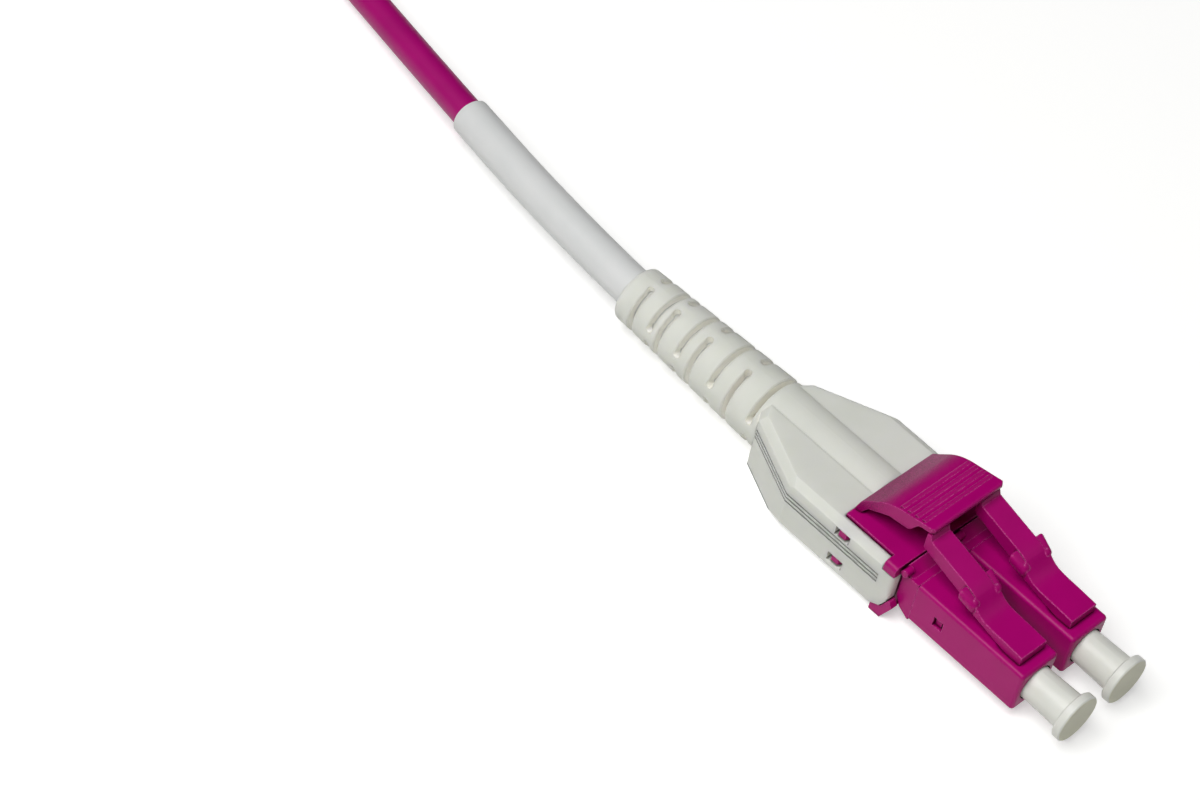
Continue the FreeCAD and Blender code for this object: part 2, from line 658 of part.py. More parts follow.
def slot_section(at):
    """Right half of a slot's section, from the bore outwards, as pairs of half width and radius."""
    half = "slot_width / 2"
    surface = boot_surface(at)
    rounded = [(f"{half} + slot_flare * (1 - cos({angle}))",
                f"{surface} - slot_flare_depth * (1 - sin({angle}))") for angle in (0, 30, 60, 90)]
    return [(half, "boot_bore - slot_flare_depth"), *rounded, (f"{half} + slot_flare", f"{surface} + 1")]


def cut_slots(body, role, station):
    """One set of flexing slots with rounded shoulders, and the same again on the opposite side."""
    sketch = sketch_on(body, role)
    for i in range(int(number("slot_pairs"))):
        at = station(i)
        right = [(f"{at} + {half}", radius) for half, radius in slot_section(at)]
        left = [(f"{at} - ({half})", radius) for half, radius in reversed(slot_section(at))]
        corners = right + left
        outline(sketch, corners if role == "YZ_Plane" else [(radius, place) for place, radius in corners])
    groove = turn(body, "Groove", sketch, "slot_angle", symmetric=True)
    doc.recompute()
    pattern = body.newObject("PartDesign::PolarPattern", "Opposite")
    pattern.Originals = [groove]
    pattern.Axis = (plane(body, "Y_Axis"), [""])
    pattern.Angle = 360
    pattern.Occurrences = 2
    body.Tip = pattern
    doc.recompute()


def cut_slot_eyes(body, middle, station):
    """Round ends of a set of slots, whose middle lies at an angle about the Y axis."""
    for sign in ("+", "-"):
        sketch = sketch_on(body, "XY_Plane")
        angle = f"{middle} {sign} slot_angle / 2"
        sketch.AttachmentOffset = FreeCAD.Placement(
            FreeCAD.Vector(), FreeCAD.Rotation(FreeCAD.Vector(0, 1, 0), number(angle)))
        sketch.setExpression(".AttachmentOffset.Rotation.Angle", tied(angle))
        for i in range(int(number("slot_pairs"))):
            disc(sketch, "slot_eye", along=station(i))
        cut(body, sketch, symmetric=True)


def cut_grip_grooves(body):
    """Three fine grooves along both sides that follow the taper of the wings."""
    inner = "housing_width / 2 - groove_depth"
    outer = "housing_width / 2 + 1"
    for i in range(3):
        level = f"groove_height + {i} * groove_pitch"
        sketch = sketch_on(body, "XY_Plane", level)
        for sign in ("", "-"):
            outline(sketch, [
                (f"{sign}({inner})", "groove_front"),
                (f"{sign}({outer})", "groove_front"),
                (f"{sign}({outer})", "wing_break"),
                (f"{sign}(wing_end_half + 1)", "wing_end + groove_depth"),
                (f"{sign}(wing_end_half - groove_depth)", "wing_end - groove_depth / 2"),
                (f"{sign}({inner})", "wing_break - groove_depth / 2"),
            ])
        cut(body, sketch, "groove_width", reverse=True)


def boot_housing():
    """One-piece moulding: flat housing with tapered wings, side tongues and slotted round boot."""
    body = new_body("boot_housing")
    half = "housing_width / 2"
    section = sketch_on(body, "XZ_Plane", "-tongue_front")
    outline(section, [
        (f"-{half} + bottom_bevel", "-housing_below"),
        (f"{half} - bottom_bevel", "-housing_below"),
        (half, "-housing_below + bottom_bevel"),
        (half, "housing_above - side_bevel_height"),
        (f"{half} - side_bevel", "housing_above"),
        (f"-{half} + side_bevel", "housing_above"),
        (f"-{half}", "housing_above - side_bevel_height"),
        (f"-{half}", "-housing_below + bottom_bevel"),
    ])
    pad(body, section, "wing_end + wing_blend - tongue_front", reverse=True)
    plan = sketch_on(body, "XY_Plane")
    for sign in ("", "-"):
        corners = [(f"{sign}({x})", y) for x, y in wing_outline()[1:]]
        outline(plan, corners + [(f"{sign}(wing_end_half - 1)", "wing_end + 2 * wing_blend"),
                                 (f"{sign}({half} + 1)", "wing_end + 2 * wing_blend"),
                                 (f"{sign}({half} + 1)", "wing_break")])
    cut(body, plan, symmetric=True)
    soften(body, "Chamfer", "wing_bevel", lambda p, e: near(p.z, "housing_above")
           and p.y > number("wing_break") and not along_x(e) and abs(p.x) > 1)
    turn(body, "Revolution", outline(sketch_on(body, "YZ_Plane"), [
        ("deck_rear", "0"),
        ("deck_rear", "boot_front_radius"),
        ("boot_base", "boot_front_radius"),
        ("boot_end", "boot_rear_radius"),
        ("boot_end", "0"),
    ]))
    soften(body, "Fillet", "boot_rim", lambda p, e: near(p.y, "boot_end"))
    inner = f"({half} - side_wall)"
    narrow = f"({inner} - (cavity_rear - wing_break + {WALL_SHIFT}) * {WING_SLOPE})"
    cavity = outline(sketch_on(body, "XY_Plane", "housing_above - roof_wall"), [
        (f"-{inner}", "tongue_front - 1"),
        (inner, "tongue_front - 1"),
        (inner, f"wing_break - {WALL_SHIFT}"),
        (narrow, "cavity_rear"),
        (f"-{narrow}", "cavity_rear"),
        (f"-{inner}", f"wing_break - {WALL_SHIFT}"),
    ])
    cut(body, cavity, "housing_above + housing_below - 2 * roof_wall")
    deck_notch = box_outline(sketch_on(body, "XZ_Plane", "-tongue_front"),
                             f"-{half} + side_wall", f"{half} - side_wall", "0", "housing_above + 1")
    cut(body, deck_notch, "deck_rear - tongue_front")
    cut(body, disc(sketch_on(body, "XZ_Plane", "-boot_end"), "boot_bore"), reverse=True)
    tongue = sketch_on(body, "YZ_Plane")
    outline(tongue, [
        ("tongue_front - 1", "tongue_top"),
        ("tongue_shoulder", "tongue_top"),
        ("tongue_shoulder", "housing_above + 1"),
        ("tongue_front - 1", "housing_above + 1"),
    ])
    cut(body, tongue, symmetric=True)
    corner = sketch_on(body, "YZ_Plane")
    low = "-housing_below + bottom_bevel"
    outline(corner, [
        ("tongue_front - 1", f"{low} + tongue_corner"),
        ("tongue_front", f"{low} + tongue_corner"),
        ("tongue_front + tongue_bend", f"{low} + tongue_bend"),
        ("tongue_front + tongue_corner", low),
        ("tongue_front + tongue_corner", "-housing_below - 1"),
        ("tongue_front - 1", "-housing_below - 1"),
    ])
    cut(body, corner, symmetric=True)
    soften(body, "Fillet", "tongue_round", lambda p, e: near(abs(p.x), half)
           and near(p.y, "tongue_front") and not along_y(e))
    windows = sketch_on(body, "YZ_Plane")
    for low, high in (("window_high", "window_high + window_height"),
                      ("-window_low - window_height", "-window_low")):
        box_outline(windows, "window_rear - window_length", "window_rear", low, high)
    cut(body, windows, symmetric=True)
    cut_grip_grooves(body)
    cut_slots(body, "YZ_Plane", slot_station)
    cut_slots(body, "XY_Plane", side_slot_station)
    cut_slot_eyes(body, "0", slot_station)
    cut_slot_eyes(body, "90", side_slot_station)
    return body


# ---------------------------------------------------------------- frame halves and trigger

NECK_START = "(plug_length + rear_block)"
FRAME_FRONT = "(plug_length + rear_block + frame_setback)"
FRAME_REAR = "(cavity_rear - frame_gap)"
FRAME_HALF = "(housing_width / 2 - side_wall - frame_gap)"
HOLLOW_FRONT = "(plug_length + rear_block + neck_length - neck_play)"


def hollow_frame(body, up):
    """Hollow of a frame half, with half round seats for the plug necks and the crimp post."""
    wall = "frame_wall"
    height = "housing_above" if up else "housing_below"
    ceiling = f"({height} - roof_wall - frame_gap)"
    half = "(pitch / 2 + collar_radius - collar_bite)"
    corners = sketch_on(body, "XY_Plane")
    rear_half = f"{FRAME_HALF} - (cavity_rear - wing_break + {WALL_SHIFT}) * {WING_SLOPE}"
    for sign in ("", "-"):
        outline(corners, [
            (f"{sign}{FRAME_HALF}", f"wing_break - {WALL_SHIFT}"),
            (f"{sign}({rear_half})", "cavity_rear"),
            (f"{sign}({FRAME_HALF} + 1)", "cavity_rear"),
            (f"{sign}({FRAME_HALF} + 1)", f"wing_break - {WALL_SHIFT}"),
        ])
    cut(body, corners, symmetric=True)
    narrow = f"({half} - (cavity_rear - frame_rear_wall - wing_break + {WALL_SHIFT}) * {WING_SLOPE})"
    room = outline(sketch_on(body, "XY_Plane"), [
        (f"-{half}", HOLLOW_FRONT),
        (half, HOLLOW_FRONT),
        (half, f"wing_break - {WALL_SHIFT}"),
        (narrow, f"{FRAME_REAR} - frame_rear_wall"),
        (f"-{narrow}", f"{FRAME_REAR} - frame_rear_wall"),
        (f"-{half}", f"wing_break - {WALL_SHIFT}"),
    ])
    cut(body, room, f"{ceiling} - {wall} / 2", reverse=up)
    for side in ("-pitch / 2", "pitch / 2"):
        neck = disc(sketch_on(body, "XZ_Plane", f"-{FRAME_FRONT} + 1"), "neck_radius + frame_gap", side)
        cut(body, neck, f"{HOLLOW_FRONT} - {FRAME_FRONT} + 1 + frame_wall")
        collar = disc(sketch_on(body, "XZ_Plane", f"-{HOLLOW_FRONT}"), "collar_radius + frame_gap", side)
        cut(body, collar, "collar_length + 4 * neck_play")
    post = disc(sketch_on(body, "XZ_Plane", f"-{FRAME_REAR} - 1"), "post_radius + frame_gap / 2")
    cut(body, post, "frame_rear_wall + 1 + 4 * neck_play", reverse=True)


def snap_tabs(body, low, high):
    """Wedge-shaped snap tabs at both sides, seen in the housing's windows."""
    reach = f"({FRAME_HALF} + tab_reach)"
    front = "(window_rear - window_length + frame_gap)"
    for sign in ("", "-"):
        sketch = sketch_on(body, "XY_Plane", low)
        outline(sketch, [
            (f"{sign}({FRAME_HALF} - tab_root)", front),
            (f"{sign}({FRAME_HALF} + tab_nose)", front),
            (f"{sign}{reach}", f"{front} + tab_ramp"),
            (f"{sign}{reach}", f"{front} + tab_length"),
            (f"{sign}({FRAME_HALF} - tab_root)", f"{front} + tab_length"),
        ])
        pad(body, sketch, f"{high} - ({low})")


def frame_upper():
    """Upper frame half: deck between the housing's sides, ears over the tongues, neck seats."""
    body = new_body("frame_upper")
    ceiling = "(housing_above - roof_wall - frame_gap)"
    rear = box_outline(sketch_on(body, "XZ_Plane", f"-{FRAME_FRONT}"),
                       f"-{FRAME_HALF}", FRAME_HALF, "0", ceiling)
    pad(body, rear, f"{FRAME_REAR} - {FRAME_FRONT}", reverse=True)
    deck = box_outline(sketch_on(body, "XZ_Plane", f"-{FRAME_FRONT}"),
                       f"-{FRAME_HALF}", FRAME_HALF, f"{ceiling} - frame_wall", "deck_top")
    pad(body, deck, f"deck_rear - frame_gap - {FRAME_FRONT}", reverse=True)
    ears = box_outline(sketch_on(body, "XZ_Plane", f"-{FRAME_FRONT}"),
                       "-housing_width / 2", "housing_width / 2", "tongue_top + frame_gap", "deck_top")
    pad(body, ears, f"tongue_shoulder - frame_gap - {FRAME_FRONT}", reverse=True)
    soften(body, "Fillet", "deck_ear_round", lambda p, e: along_y(e) and near(p.z, "deck_top")
           and near(abs(p.x), "housing_width / 2"))
    hollow_frame(body, True)
    snap_tabs(body, "window_high + frame_gap", "window_high + frame_gap + tab_height")
    return body


def frame_lower():
    """Lower frame half: tray with neck seats and a bumper below the housing's tongues."""
    body = new_body("frame_lower")
    floor = "(housing_below - roof_wall - frame_gap)"
    tray = box_outline(sketch_on(body, "XZ_Plane", f"-{FRAME_FRONT}"),
                       f"-{FRAME_HALF}", FRAME_HALF, f"-{floor}", "0")
    pad(body, tray, f"{FRAME_REAR} - {FRAME_FRONT}", reverse=True)
    low = "-housing_below + bottom_bevel"
    bumper = sketch_on(body, "YZ_Plane")
    back = "tongue_front + tongue_corner - frame_gap"
    outline(bumper, [
        ("bumper_front + bumper_slope", "-housing_below + bumper_play"),
        (back, "-housing_below + bumper_play"),
        (back, f"{low} - frame_gap"),
        ("tongue_front + tongue_bend - frame_gap", f"{low} + tongue_bend - frame_gap"),
        ("tongue_front - frame_gap", f"{low} + tongue_corner"),
        ("bumper_front + bumper_nose_run", f"{low} + tongue_corner"),
        ("bumper_front", f"{low} + tongue_corner - bumper_nose"),
    ])
    pad(body, bumper, "housing_width - 2 * bumper_inset", symmetric=True)
    room = box_outline(sketch_on(body, "XZ_Plane", "-bumper_front + 1"),
                       "-(pitch + plug_width) / 2 - plug_play", "(pitch + plug_width) / 2 + plug_play",
                       "-plug_width / 2 - plug_play", "2")
    cut(body, room, f"{FRAME_FRONT} - bumper_front + 1")
    hollow_frame(body, False)
    snap_tabs(body, "-window_low - frame_gap - tab_height", "-window_low - frame_gap")
    return body


TRIGGER_REAR = "(deck_rear - frame_gap)"
ROOT_TOP = "(deck_top + trigger_root_rise)"
BEND = "(trigger_front + trigger_flat)"
SKIRT_START = "(trigger_front + trigger_lip_reach)"
SKIRT_REAR = f"({BEND} - skirt_ramp / 3)"


def plate_top(at):
    """Height of the rising plate between bend and lip at a place behind the face."""
    return f"trigger_top - ({at} - trigger_front) * trigger_rise / trigger_flat"


def trigger_side():
    """Side outline of the trigger: root, slope, bend and lip on top, skirts' underside below."""
    return [
        (TRIGGER_REAR, "deck_top + trigger_gap"),
        (f"{TRIGGER_REAR} - trigger_root_lean", ROOT_TOP),
        (BEND, plate_top(BEND)),
        ("trigger_front", "trigger_top"),
        ("trigger_front", "trigger_top - trigger_lip"),
        (SKIRT_START, f"{plate_top(SKIRT_START)} - trigger_lip"),
        (f"{SKIRT_START} + skirt_ramp", "trigger_top - skirt_front_drop"),
        (SKIRT_REAR, "trigger_top - skirt_rear_drop"),
        (f"{TRIGGER_REAR} - trigger_root_rise", "deck_top + trigger_root_under"),
        (f"{TRIGGER_REAR} - trigger_root_rise / 2", "deck_top + trigger_gap"),
    ]


def trigger():
    """Press trigger: curved ribbed plate that rises to its lip, side skirts, thin rear root."""
    body = new_body("trigger")
    pad(body, outline(sketch_on(body, "YZ_Plane"), trigger_side()), "2 * trigger_root_half", symmetric=True)
    for size, along, level in (
            ("trigger_bend", BEND, plate_top(BEND)),
            ("skirt_round", f"{SKIRT_START} + skirt_ramp", "trigger_top - skirt_front_drop"),
            ("skirt_round", SKIRT_START, f"{plate_top(SKIRT_START)} - trigger_lip"),
            ("skirt_round", SKIRT_REAR, "trigger_top - skirt_rear_drop"),
            ("trigger_root_round", f"{TRIGGER_REAR} - trigger_root_lean", ROOT_TOP),
            ("trigger_lip_round", "trigger_front", "trigger_top")):
        soften(body, "Fillet", size,
               lambda p, e, y=along, z=level: along_x(e) and near(p.y, y) and near(p.z, z))
    plan = sketch_on(body, "XY_Plane")
    for sign in ("", "-"):
        outline(plan, [
            (f"{sign}(trigger_half - trigger_lip_round)", "trigger_front - 1"),
            (f"{sign}(trigger_half - trigger_lip_round)", "trigger_front"),
            (f"{sign}trigger_half", "trigger_front + trigger_lip_round"),
            (f"{sign}trigger_half", "deck_rear - root_neck - root_flare"),
            (f"{sign}(trigger_root_half - root_lead)", "deck_rear - root_neck"),
            (f"{sign}trigger_root_half", "deck_rear + 1"),
            (f"{sign}(trigger_root_half + 1)", "deck_rear + 1"),
            (f"{sign}(trigger_root_half + 1)", "trigger_front - 1"),
        ])
    cut(body, plan, symmetric=True)
    hollow = sketch_on(body, "YZ_Plane")
    hollow_end = f"{BEND} + ({TRIGGER_REAR} - {BEND}) * hollow_share"
    outline(hollow, [
        (SKIRT_START, f"{plate_top(SKIRT_START)} - trigger_skin"),
        (f"{BEND} - trigger_skin", f"{plate_top(BEND)} - trigger_skin"),
        (hollow_end, f"{plate_top(BEND)} - 2 * trigger_skin"),
        (hollow_end, "deck_top"),
        (SKIRT_START, "deck_top"),
    ])
    cut(body, hollow, "2 * (trigger_half - skirt_width)", symmetric=True)
    ribs = sketch_on(body, "YZ_Plane")
    for i in range(int(number("rib_total"))):
        at = f"(rib_front + {i} * rib_pitch)"
        disc(ribs, "rib_radius", at, f"{plate_top(at)} - rib_sink")
    pad(body, ribs, "2 * (trigger_half - trigger_lip_round)", symmetric=True)
    return body


# ---------------------------------------------------------------- crimp, cable and hank


def crimp_post():
    """Metal post that the cable is crimped on, held by the frame halves."""
    rear_wall = f"({FRAME_REAR} - frame_rear_wall - neck_play)"
    return turned("crimp_post", [
        (f"{rear_wall} - post_flange_length", "post_bore"),
        (f"{rear_wall} - post_flange_length", "post_flange_radius"),
        (rear_wall, "post_flange_radius"),
        (rear_wall, "post_radius"),
        ("post_end", "post_radius"),
        ("post_end", "post_bore"),
    ])


def crimp_ring():
    """Crimp ring over the post, which clamps the cable's yarn."""
    return turned("crimp_ring", [
        ("ring_front", "post_radius + ring_gap"),
        ("ring_front", "ring_outer - ring_edge"),
        ("ring_front + ring_edge", "ring_outer"),
        ("cable_start - ring_edge", "ring_outer"),
        ("cable_start", "ring_outer - ring_edge"),
        ("cable_start", "post_radius + ring_gap"),
    ])


def rounded_path(points):
    """Straight runs joined by tangent arcs as large as the runs allow."""
    places = [FreeCAD.Vector(*p) for p in points]
    edges = []
    radii = []
    here = places[0]
    for before, corner, after in zip(places, places[1:], places[2:]):
        into = (corner - before).normalize()
        out = (after - corner).normalize()
        half_turn = into.getAngle(out) / 2
        shorter = min((corner - before).Length, (after - corner).Length)
        radius = 0.45 * shorter / math.tan(half_turn)
        reach = 0.45 * shorter
        start = corner - into * reach
        end = corner + out * reach
        bisector = (out - into).normalize()
        centre = corner + bisector * (radius / math.cos(half_turn))
        middle = centre - bisector * radius
        edges.append(Part.LineSegment(here, start).toShape())
        edges.append(Part.Arc(start, middle, end).toShape())
        radii.append(radius)
        here = end
    edges.append(Part.LineSegment(here, places[-1]).toShape())
    return Part.Wire(edges), radii


def tube_along(path, radius, bore=0.0):
    """Round tube along a path; with a bore it is hollow."""
    start = path.Edges[0].valueAt(path.Edges[0].FirstParameter)
    way = path.Edges[0].tangentAt(path.Edges[0].FirstParameter)
    ring = Part.Wire(Part.makeCircle(radius, start, way))
    outer = path.makePipeShell([ring], True, True)
    if not bore:
        return outer
    inner = path.makePipeShell([Part.Wire(Part.makeCircle(bore, start, way))], True, True)
    return outer.cut(inner)


def shaped(name, shape, side="0", back="0", up="0"):
    """Feature whose shape is made in code, seated in the part frame."""
    made = doc.addObject("Part::Feature", name)
    made.Label = name
    made.Shape = shape
    return seat(made, side, back, up)


def cable():
    """Round cable from the crimp ring through boot and sleeve, down to the hank."""
    path, radii = rounded_path(CABLE_ROUTE)
    print("cable bend radii:", [round(r, 1) for r in radii], "diameter", 2 * number("cable_radius"))
    made = tube_along(path, number("cable_radius"))
    expected = math.pi * number("cable_radius") ** 2 * path.Length
    print("cable volume / section times length:", round(made.Volume / expected, 4))
    print("cable length", round(path.Length, 1))
    return shaped("cable", made)


def sleeve_path():
    """The stretch of the cable's path that the sleeve covers."""
    path, _radii = rounded_path(CABLE_ROUTE)
    skip = number("sleeve_front - cable_start")
    left = number("sleeve_length")
    edges = []
    for edge in path.Edges:
        length = edge.Length
        if skip >= length:
            skip -= length
            continue
        first = edge.getParameterByLength(skip)
        last = edge.getParameterByLength(min(length, skip + left))
        edges.append(edge.Curve.toShape(first, last))
        left -= min(length - skip, left)
        skip = 0
        if left <= 1e-6:
            break
    return Part.Wire(edges)


def cable_sleeve():
    """Long protective sleeve over the cable, held in the boot."""
    return shaped("cable_sleeve", tube_along(sleeve_path(), number("sleeve_outer"), number("sleeve_inner")))


def fibre_buffer(name, sign):
    """Buffered fibre from the ferrule flange through the rear body to the crimp post."""
    side = sign * number("pitch / 2")
    near_post = sign * 0.55
    start = number(f"{FLANGE_FRONT} + flange_length + flange_tube_length + float_travel") + 0.1
    end = number(f"{FRAME_REAR} - frame_rear_wall - neck_play - post_flange_length - fibre_play")
    neck_end = number(f"{NECK_START} + neck_length + collar_length")
    path, _radii = rounded_path([
        (side, start, 0), (side, neck_end + 1.2, 0), (near_post, end - 2.2, 0), (near_post, end, 0)])
    return shaped(name, tube_along(path, number("buffer_radius")))


def hank_section():
    """Inner radius, width and height of the hank's bundle of turns."""
    inner = number("fold_radius - cable_radius")
    return inner, number("turns_wide * 2 * cable_radius"), number("turns_high * 2 * cable_radius")


def fold_outline(radius):
    """Closed line of two straight runs and two round folds."""
    run = number("fold_run / 2")
    corners = [FreeCAD.Vector(radius, -run, 0), FreeCAD.Vector(radius, run, 0),
               FreeCAD.Vector(-radius, run, 0), FreeCAD.Vector(-radius, -run, 0)]
    far = FreeCAD.Vector(0, run + radius, 0)
    return Part.Wire([
        Part.LineSegment(corners[0], corners[1]).toShape(),
        Part.Arc(corners[1], far, corners[2]).toShape(),
        Part.LineSegment(corners[2], corners[3]).toShape(),
        Part.Arc(corners[3], -far, corners[0]).toShape(),
    ])


def cable_hank():
    """Outer shape of the put-away length, wound with straight runs in line with the cable."""
    inner, wide, tall = hank_section()
    up = FreeCAD.Vector(0, 0, tall)
    ring = Part.Face(fold_outline(inner + wide)).extrude(up).cut(Part.Face(fold_outline(inner)).extrude(up))
    rims = [e for e in ring.Edges if abs(e.BoundBox.ZMax - e.BoundBox.ZMin) < 1e-6]
    ring = ring.makeFillet(number("cable_radius") * 0.9, rims)
    return shaped("cable_hank", ring, "hank_x", "hank_y", "fold_lift - housing_below")


def hank_tie(name, side):
    """Strap round the turns of one straight run."""
    inner, wide, tall = hank_section()
    thick = number("fold_lift")
    gap = number("tie_gap")
    width = number("tie_width")
    left = side * (inner + wide / 2) - wide / 2 - gap
    inside = FreeCAD.Vector(left, -width / 2, thick)
    outside = inside - FreeCAD.Vector(thick, 0, thick)
    outer = Part.makeBox(wide + 2 * (gap + thick), width, tall + 2 * thick + gap, outside)
    strap = outer.cut(Part.makeBox(wide + 2 * gap, width, tall + gap, inside))
    return shaped(name, strap, "hank_x", "hank_y", "-housing_below")


# ---------------------------------------------------------------- build and write

pieces = [boot_housing(), frame_upper(), frame_lower(), trigger(), crimp_post(), crimp_ring()]
for letter, side in (("a", "-pitch / 2"), ("b", "pitch / 2")):
    pieces += [
        plug_housing(f"plug_housing_{letter}", side),
        plug_latch(f"plug_latch_{letter}", side),
        plug_rear(f"plug_rear_{letter}", side),
        ferrule(f"ferrule_{letter}", side),
        ferrule_flange(f"ferrule_flange_{letter}", side),
        ferrule_spring(f"ferrule_spring_{letter}", side),
        dust_cap(f"dust_cap_{letter}", side),
    ]
pieces += [fibre_buffer("fibre_buffer_a", -1), fibre_buffer("fibre_buffer_b", 1)]
pieces += [cable(), cable_sleeve(), cable_hank(), hank_tie("hank_tie_a", -1), hank_tie("hank_tie_b", 1)]
doc.recompute()

for item in doc.Objects:
    if "Invalid" in item.State or "Error" in item.State:
        raise ValueError(f"{item.Name} ({item.Label}) is {item.State}")
for piece in pieces:
    if piece.Shape.isNull() or not piece.Shape.isValid():
        raise ValueError(f"{piece.Label} has no valid shape")
    if piece.Shape.Volume <= 0:
        raise ValueError(f"{piece.Label} is inside out")

os.makedirs("parts", exist_ok=True)
for piece in pieces:
    piece.Shape.exportStep(f"parts/{piece.Label}.step")
    print(f"{piece.Label}: {len(piece.Shape.Solids)} solid, {piece.Shape.Volume:.2f} mm3")
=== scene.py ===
"""Looks of a duplex LC fibre connector with dust caps, boot housing, cable and put-away hank.

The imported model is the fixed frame. This script dresses its solids in moulded plastics, shapes the
latches' flowing outline, lays the cable along its route, and adds the floor, the light and the camera.
"""
import logging
import math
from dataclasses import dataclass, replace
from enum import Enum

import bmesh
import bpy
from mathutils import Matrix, Vector


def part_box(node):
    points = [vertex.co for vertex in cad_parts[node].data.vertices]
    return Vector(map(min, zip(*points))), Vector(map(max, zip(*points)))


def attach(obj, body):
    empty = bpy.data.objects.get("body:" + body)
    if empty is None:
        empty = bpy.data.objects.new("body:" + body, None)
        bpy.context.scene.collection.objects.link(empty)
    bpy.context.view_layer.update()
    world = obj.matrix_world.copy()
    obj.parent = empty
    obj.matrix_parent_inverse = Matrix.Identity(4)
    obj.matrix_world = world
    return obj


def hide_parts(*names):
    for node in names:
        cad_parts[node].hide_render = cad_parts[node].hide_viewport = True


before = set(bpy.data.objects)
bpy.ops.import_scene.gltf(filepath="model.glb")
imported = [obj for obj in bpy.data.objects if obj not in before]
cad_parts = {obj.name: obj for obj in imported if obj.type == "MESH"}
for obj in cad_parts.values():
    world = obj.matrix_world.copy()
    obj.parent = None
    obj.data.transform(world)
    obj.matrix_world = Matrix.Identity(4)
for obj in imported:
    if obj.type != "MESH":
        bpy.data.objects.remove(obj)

LOG = logging.getLogger("lc_connector")
MM = 0.001
# Place of the plugs' face and axis in the part, in millimetres.
FACE_Y = -22.935
AXIS_Z = 3.4
# Sockets of a mix node for colours. Their names aren't unique, so they go by number.
MIX_A, MIX_B, MIX_RESULT = 6, 7, 2
Point = tuple[float, float, float]
Pair = tuple[float, float]


# ---------------------------------------------------------------- small helpers


def linear(hex_colour: str) -> tuple[float, float, float, float]:
    """Turns an sRGB hex colour into a linear one.

    Args:
        hex_colour: Colour such as "#a8006e".

    Returns:
        Red, green, blue and alpha in linear values.
    """
    channels = [int(hex_colour[i:i + 2], 16) / 255 for i in (1, 3, 5)]
    curve = [c / 12.92 if c <= 0.04045 else ((c + 0.055) / 1.055) ** 2.4 for c in channels]
    return (curve[0], curve[1], curve[2], 1.0)


def add_node(tree: bpy.types.NodeTree, kind: str, settings: dict[str | int, object] | None = None,
             links: dict[str | int, bpy.types.NodeSocket] | None = None) -> bpy.types.Node:
    """Adds a node with its settings and links.

    Args:
        tree: Node tree of a material.
        kind: Type of the node, such as "ShaderNodeTexNoise".
        settings: Values by the name of a property, or by the name or number of an input.
        links: Output sockets by the name or number of the input that they feed.

    Returns:
        The new node.
    """
    node = tree.nodes.new(kind)
    for name, value in (settings or {}).items():
        if isinstance(name, int) or name in node.inputs:
            node.inputs[name].default_value = value
        else:
            setattr(node, name, value)
    for name, socket in (links or {}).items():
        tree.links.new(socket, node.inputs[name])
    return node


def new_material(name: str) -> bpy.types.Material:
    """Makes an empty node material.

    Args:
        name: Name of the real finish.

    Returns:
        The material, without any nodes.
    """
    material = bpy.data.materials.new(name)
    material.use_nodes = True
    material.node_tree.nodes.clear()
    return material


def dress_node(node: str, material: bpy.types.Material) -> None:
    """Gives every slot of a CAD node one material.

    Args:
        node: Name of the CAD node.
        material: Material for it.
    """
    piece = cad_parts[node]
    if not piece.material_slots:
        piece.data.materials.append(material)
    for slot in piece.material_slots:
        slot.material = material
    LOG.info("dressed %s in %s", node, material.name)


# ---------------------------------------------------------------- finishes


class Grain(Enum):
    """Surface of the mould that a plastic was made in, as a share of the full relief."""

    POLISHED = 0.0
    SATIN = 0.4
    SPARKED = 1.0


@dataclass(frozen=True)
class PaintedHollowShade:
    """Painted shade: a darker tone in grooves and seams, where little open sky reaches."""

    colour: str
    reach_mm: float
    # Share of open sky at which the tone starts, and the one at which it is full.
    open_sky: Pair = (0.88, 0.5)
    samples: int = 8


@dataclass(frozen=True)
class PaintedSlotLight:
    """Painted light and a painted glow in the slots of thin walls behind a place, standing in for the light
    that the walls let through.
    """

    colour: str
    start_mm: float
    reach_mm: float = 0.5
    # Strength of the painted glow in the slots.
    glow: float = 0.15


@dataclass(frozen=True)
class OuterEdgeTone:
    """Second tone, speck by speck, that breaks up the outer edges behind a place."""

    colour: str
    share: float = 0.5
    start_mm: float = -1000.0
    spread: Pair = (-0.1, 0.1)
    # Agreement of rounded and flat normal at which an edge starts, and the one at which it is full.
    turn: Pair = (0.995, 0.93)


@dataclass(frozen=True)
class Band:
    """Second tone that comes in between two places along the piece, speck by speck."""

    colour: str
    along_mm: Pair
    share: float = 1.0
    spread: Pair = (-0.18, 0.12)


@dataclass(frozen=True)
class Patterns:
    """Node tree of a material with the patterns that several of its parts read."""

    tree: bpy.types.NodeTree
    place: bpy.types.NodeSocket
    along: bpy.types.NodeSocket
    fine: bpy.types.NodeSocket


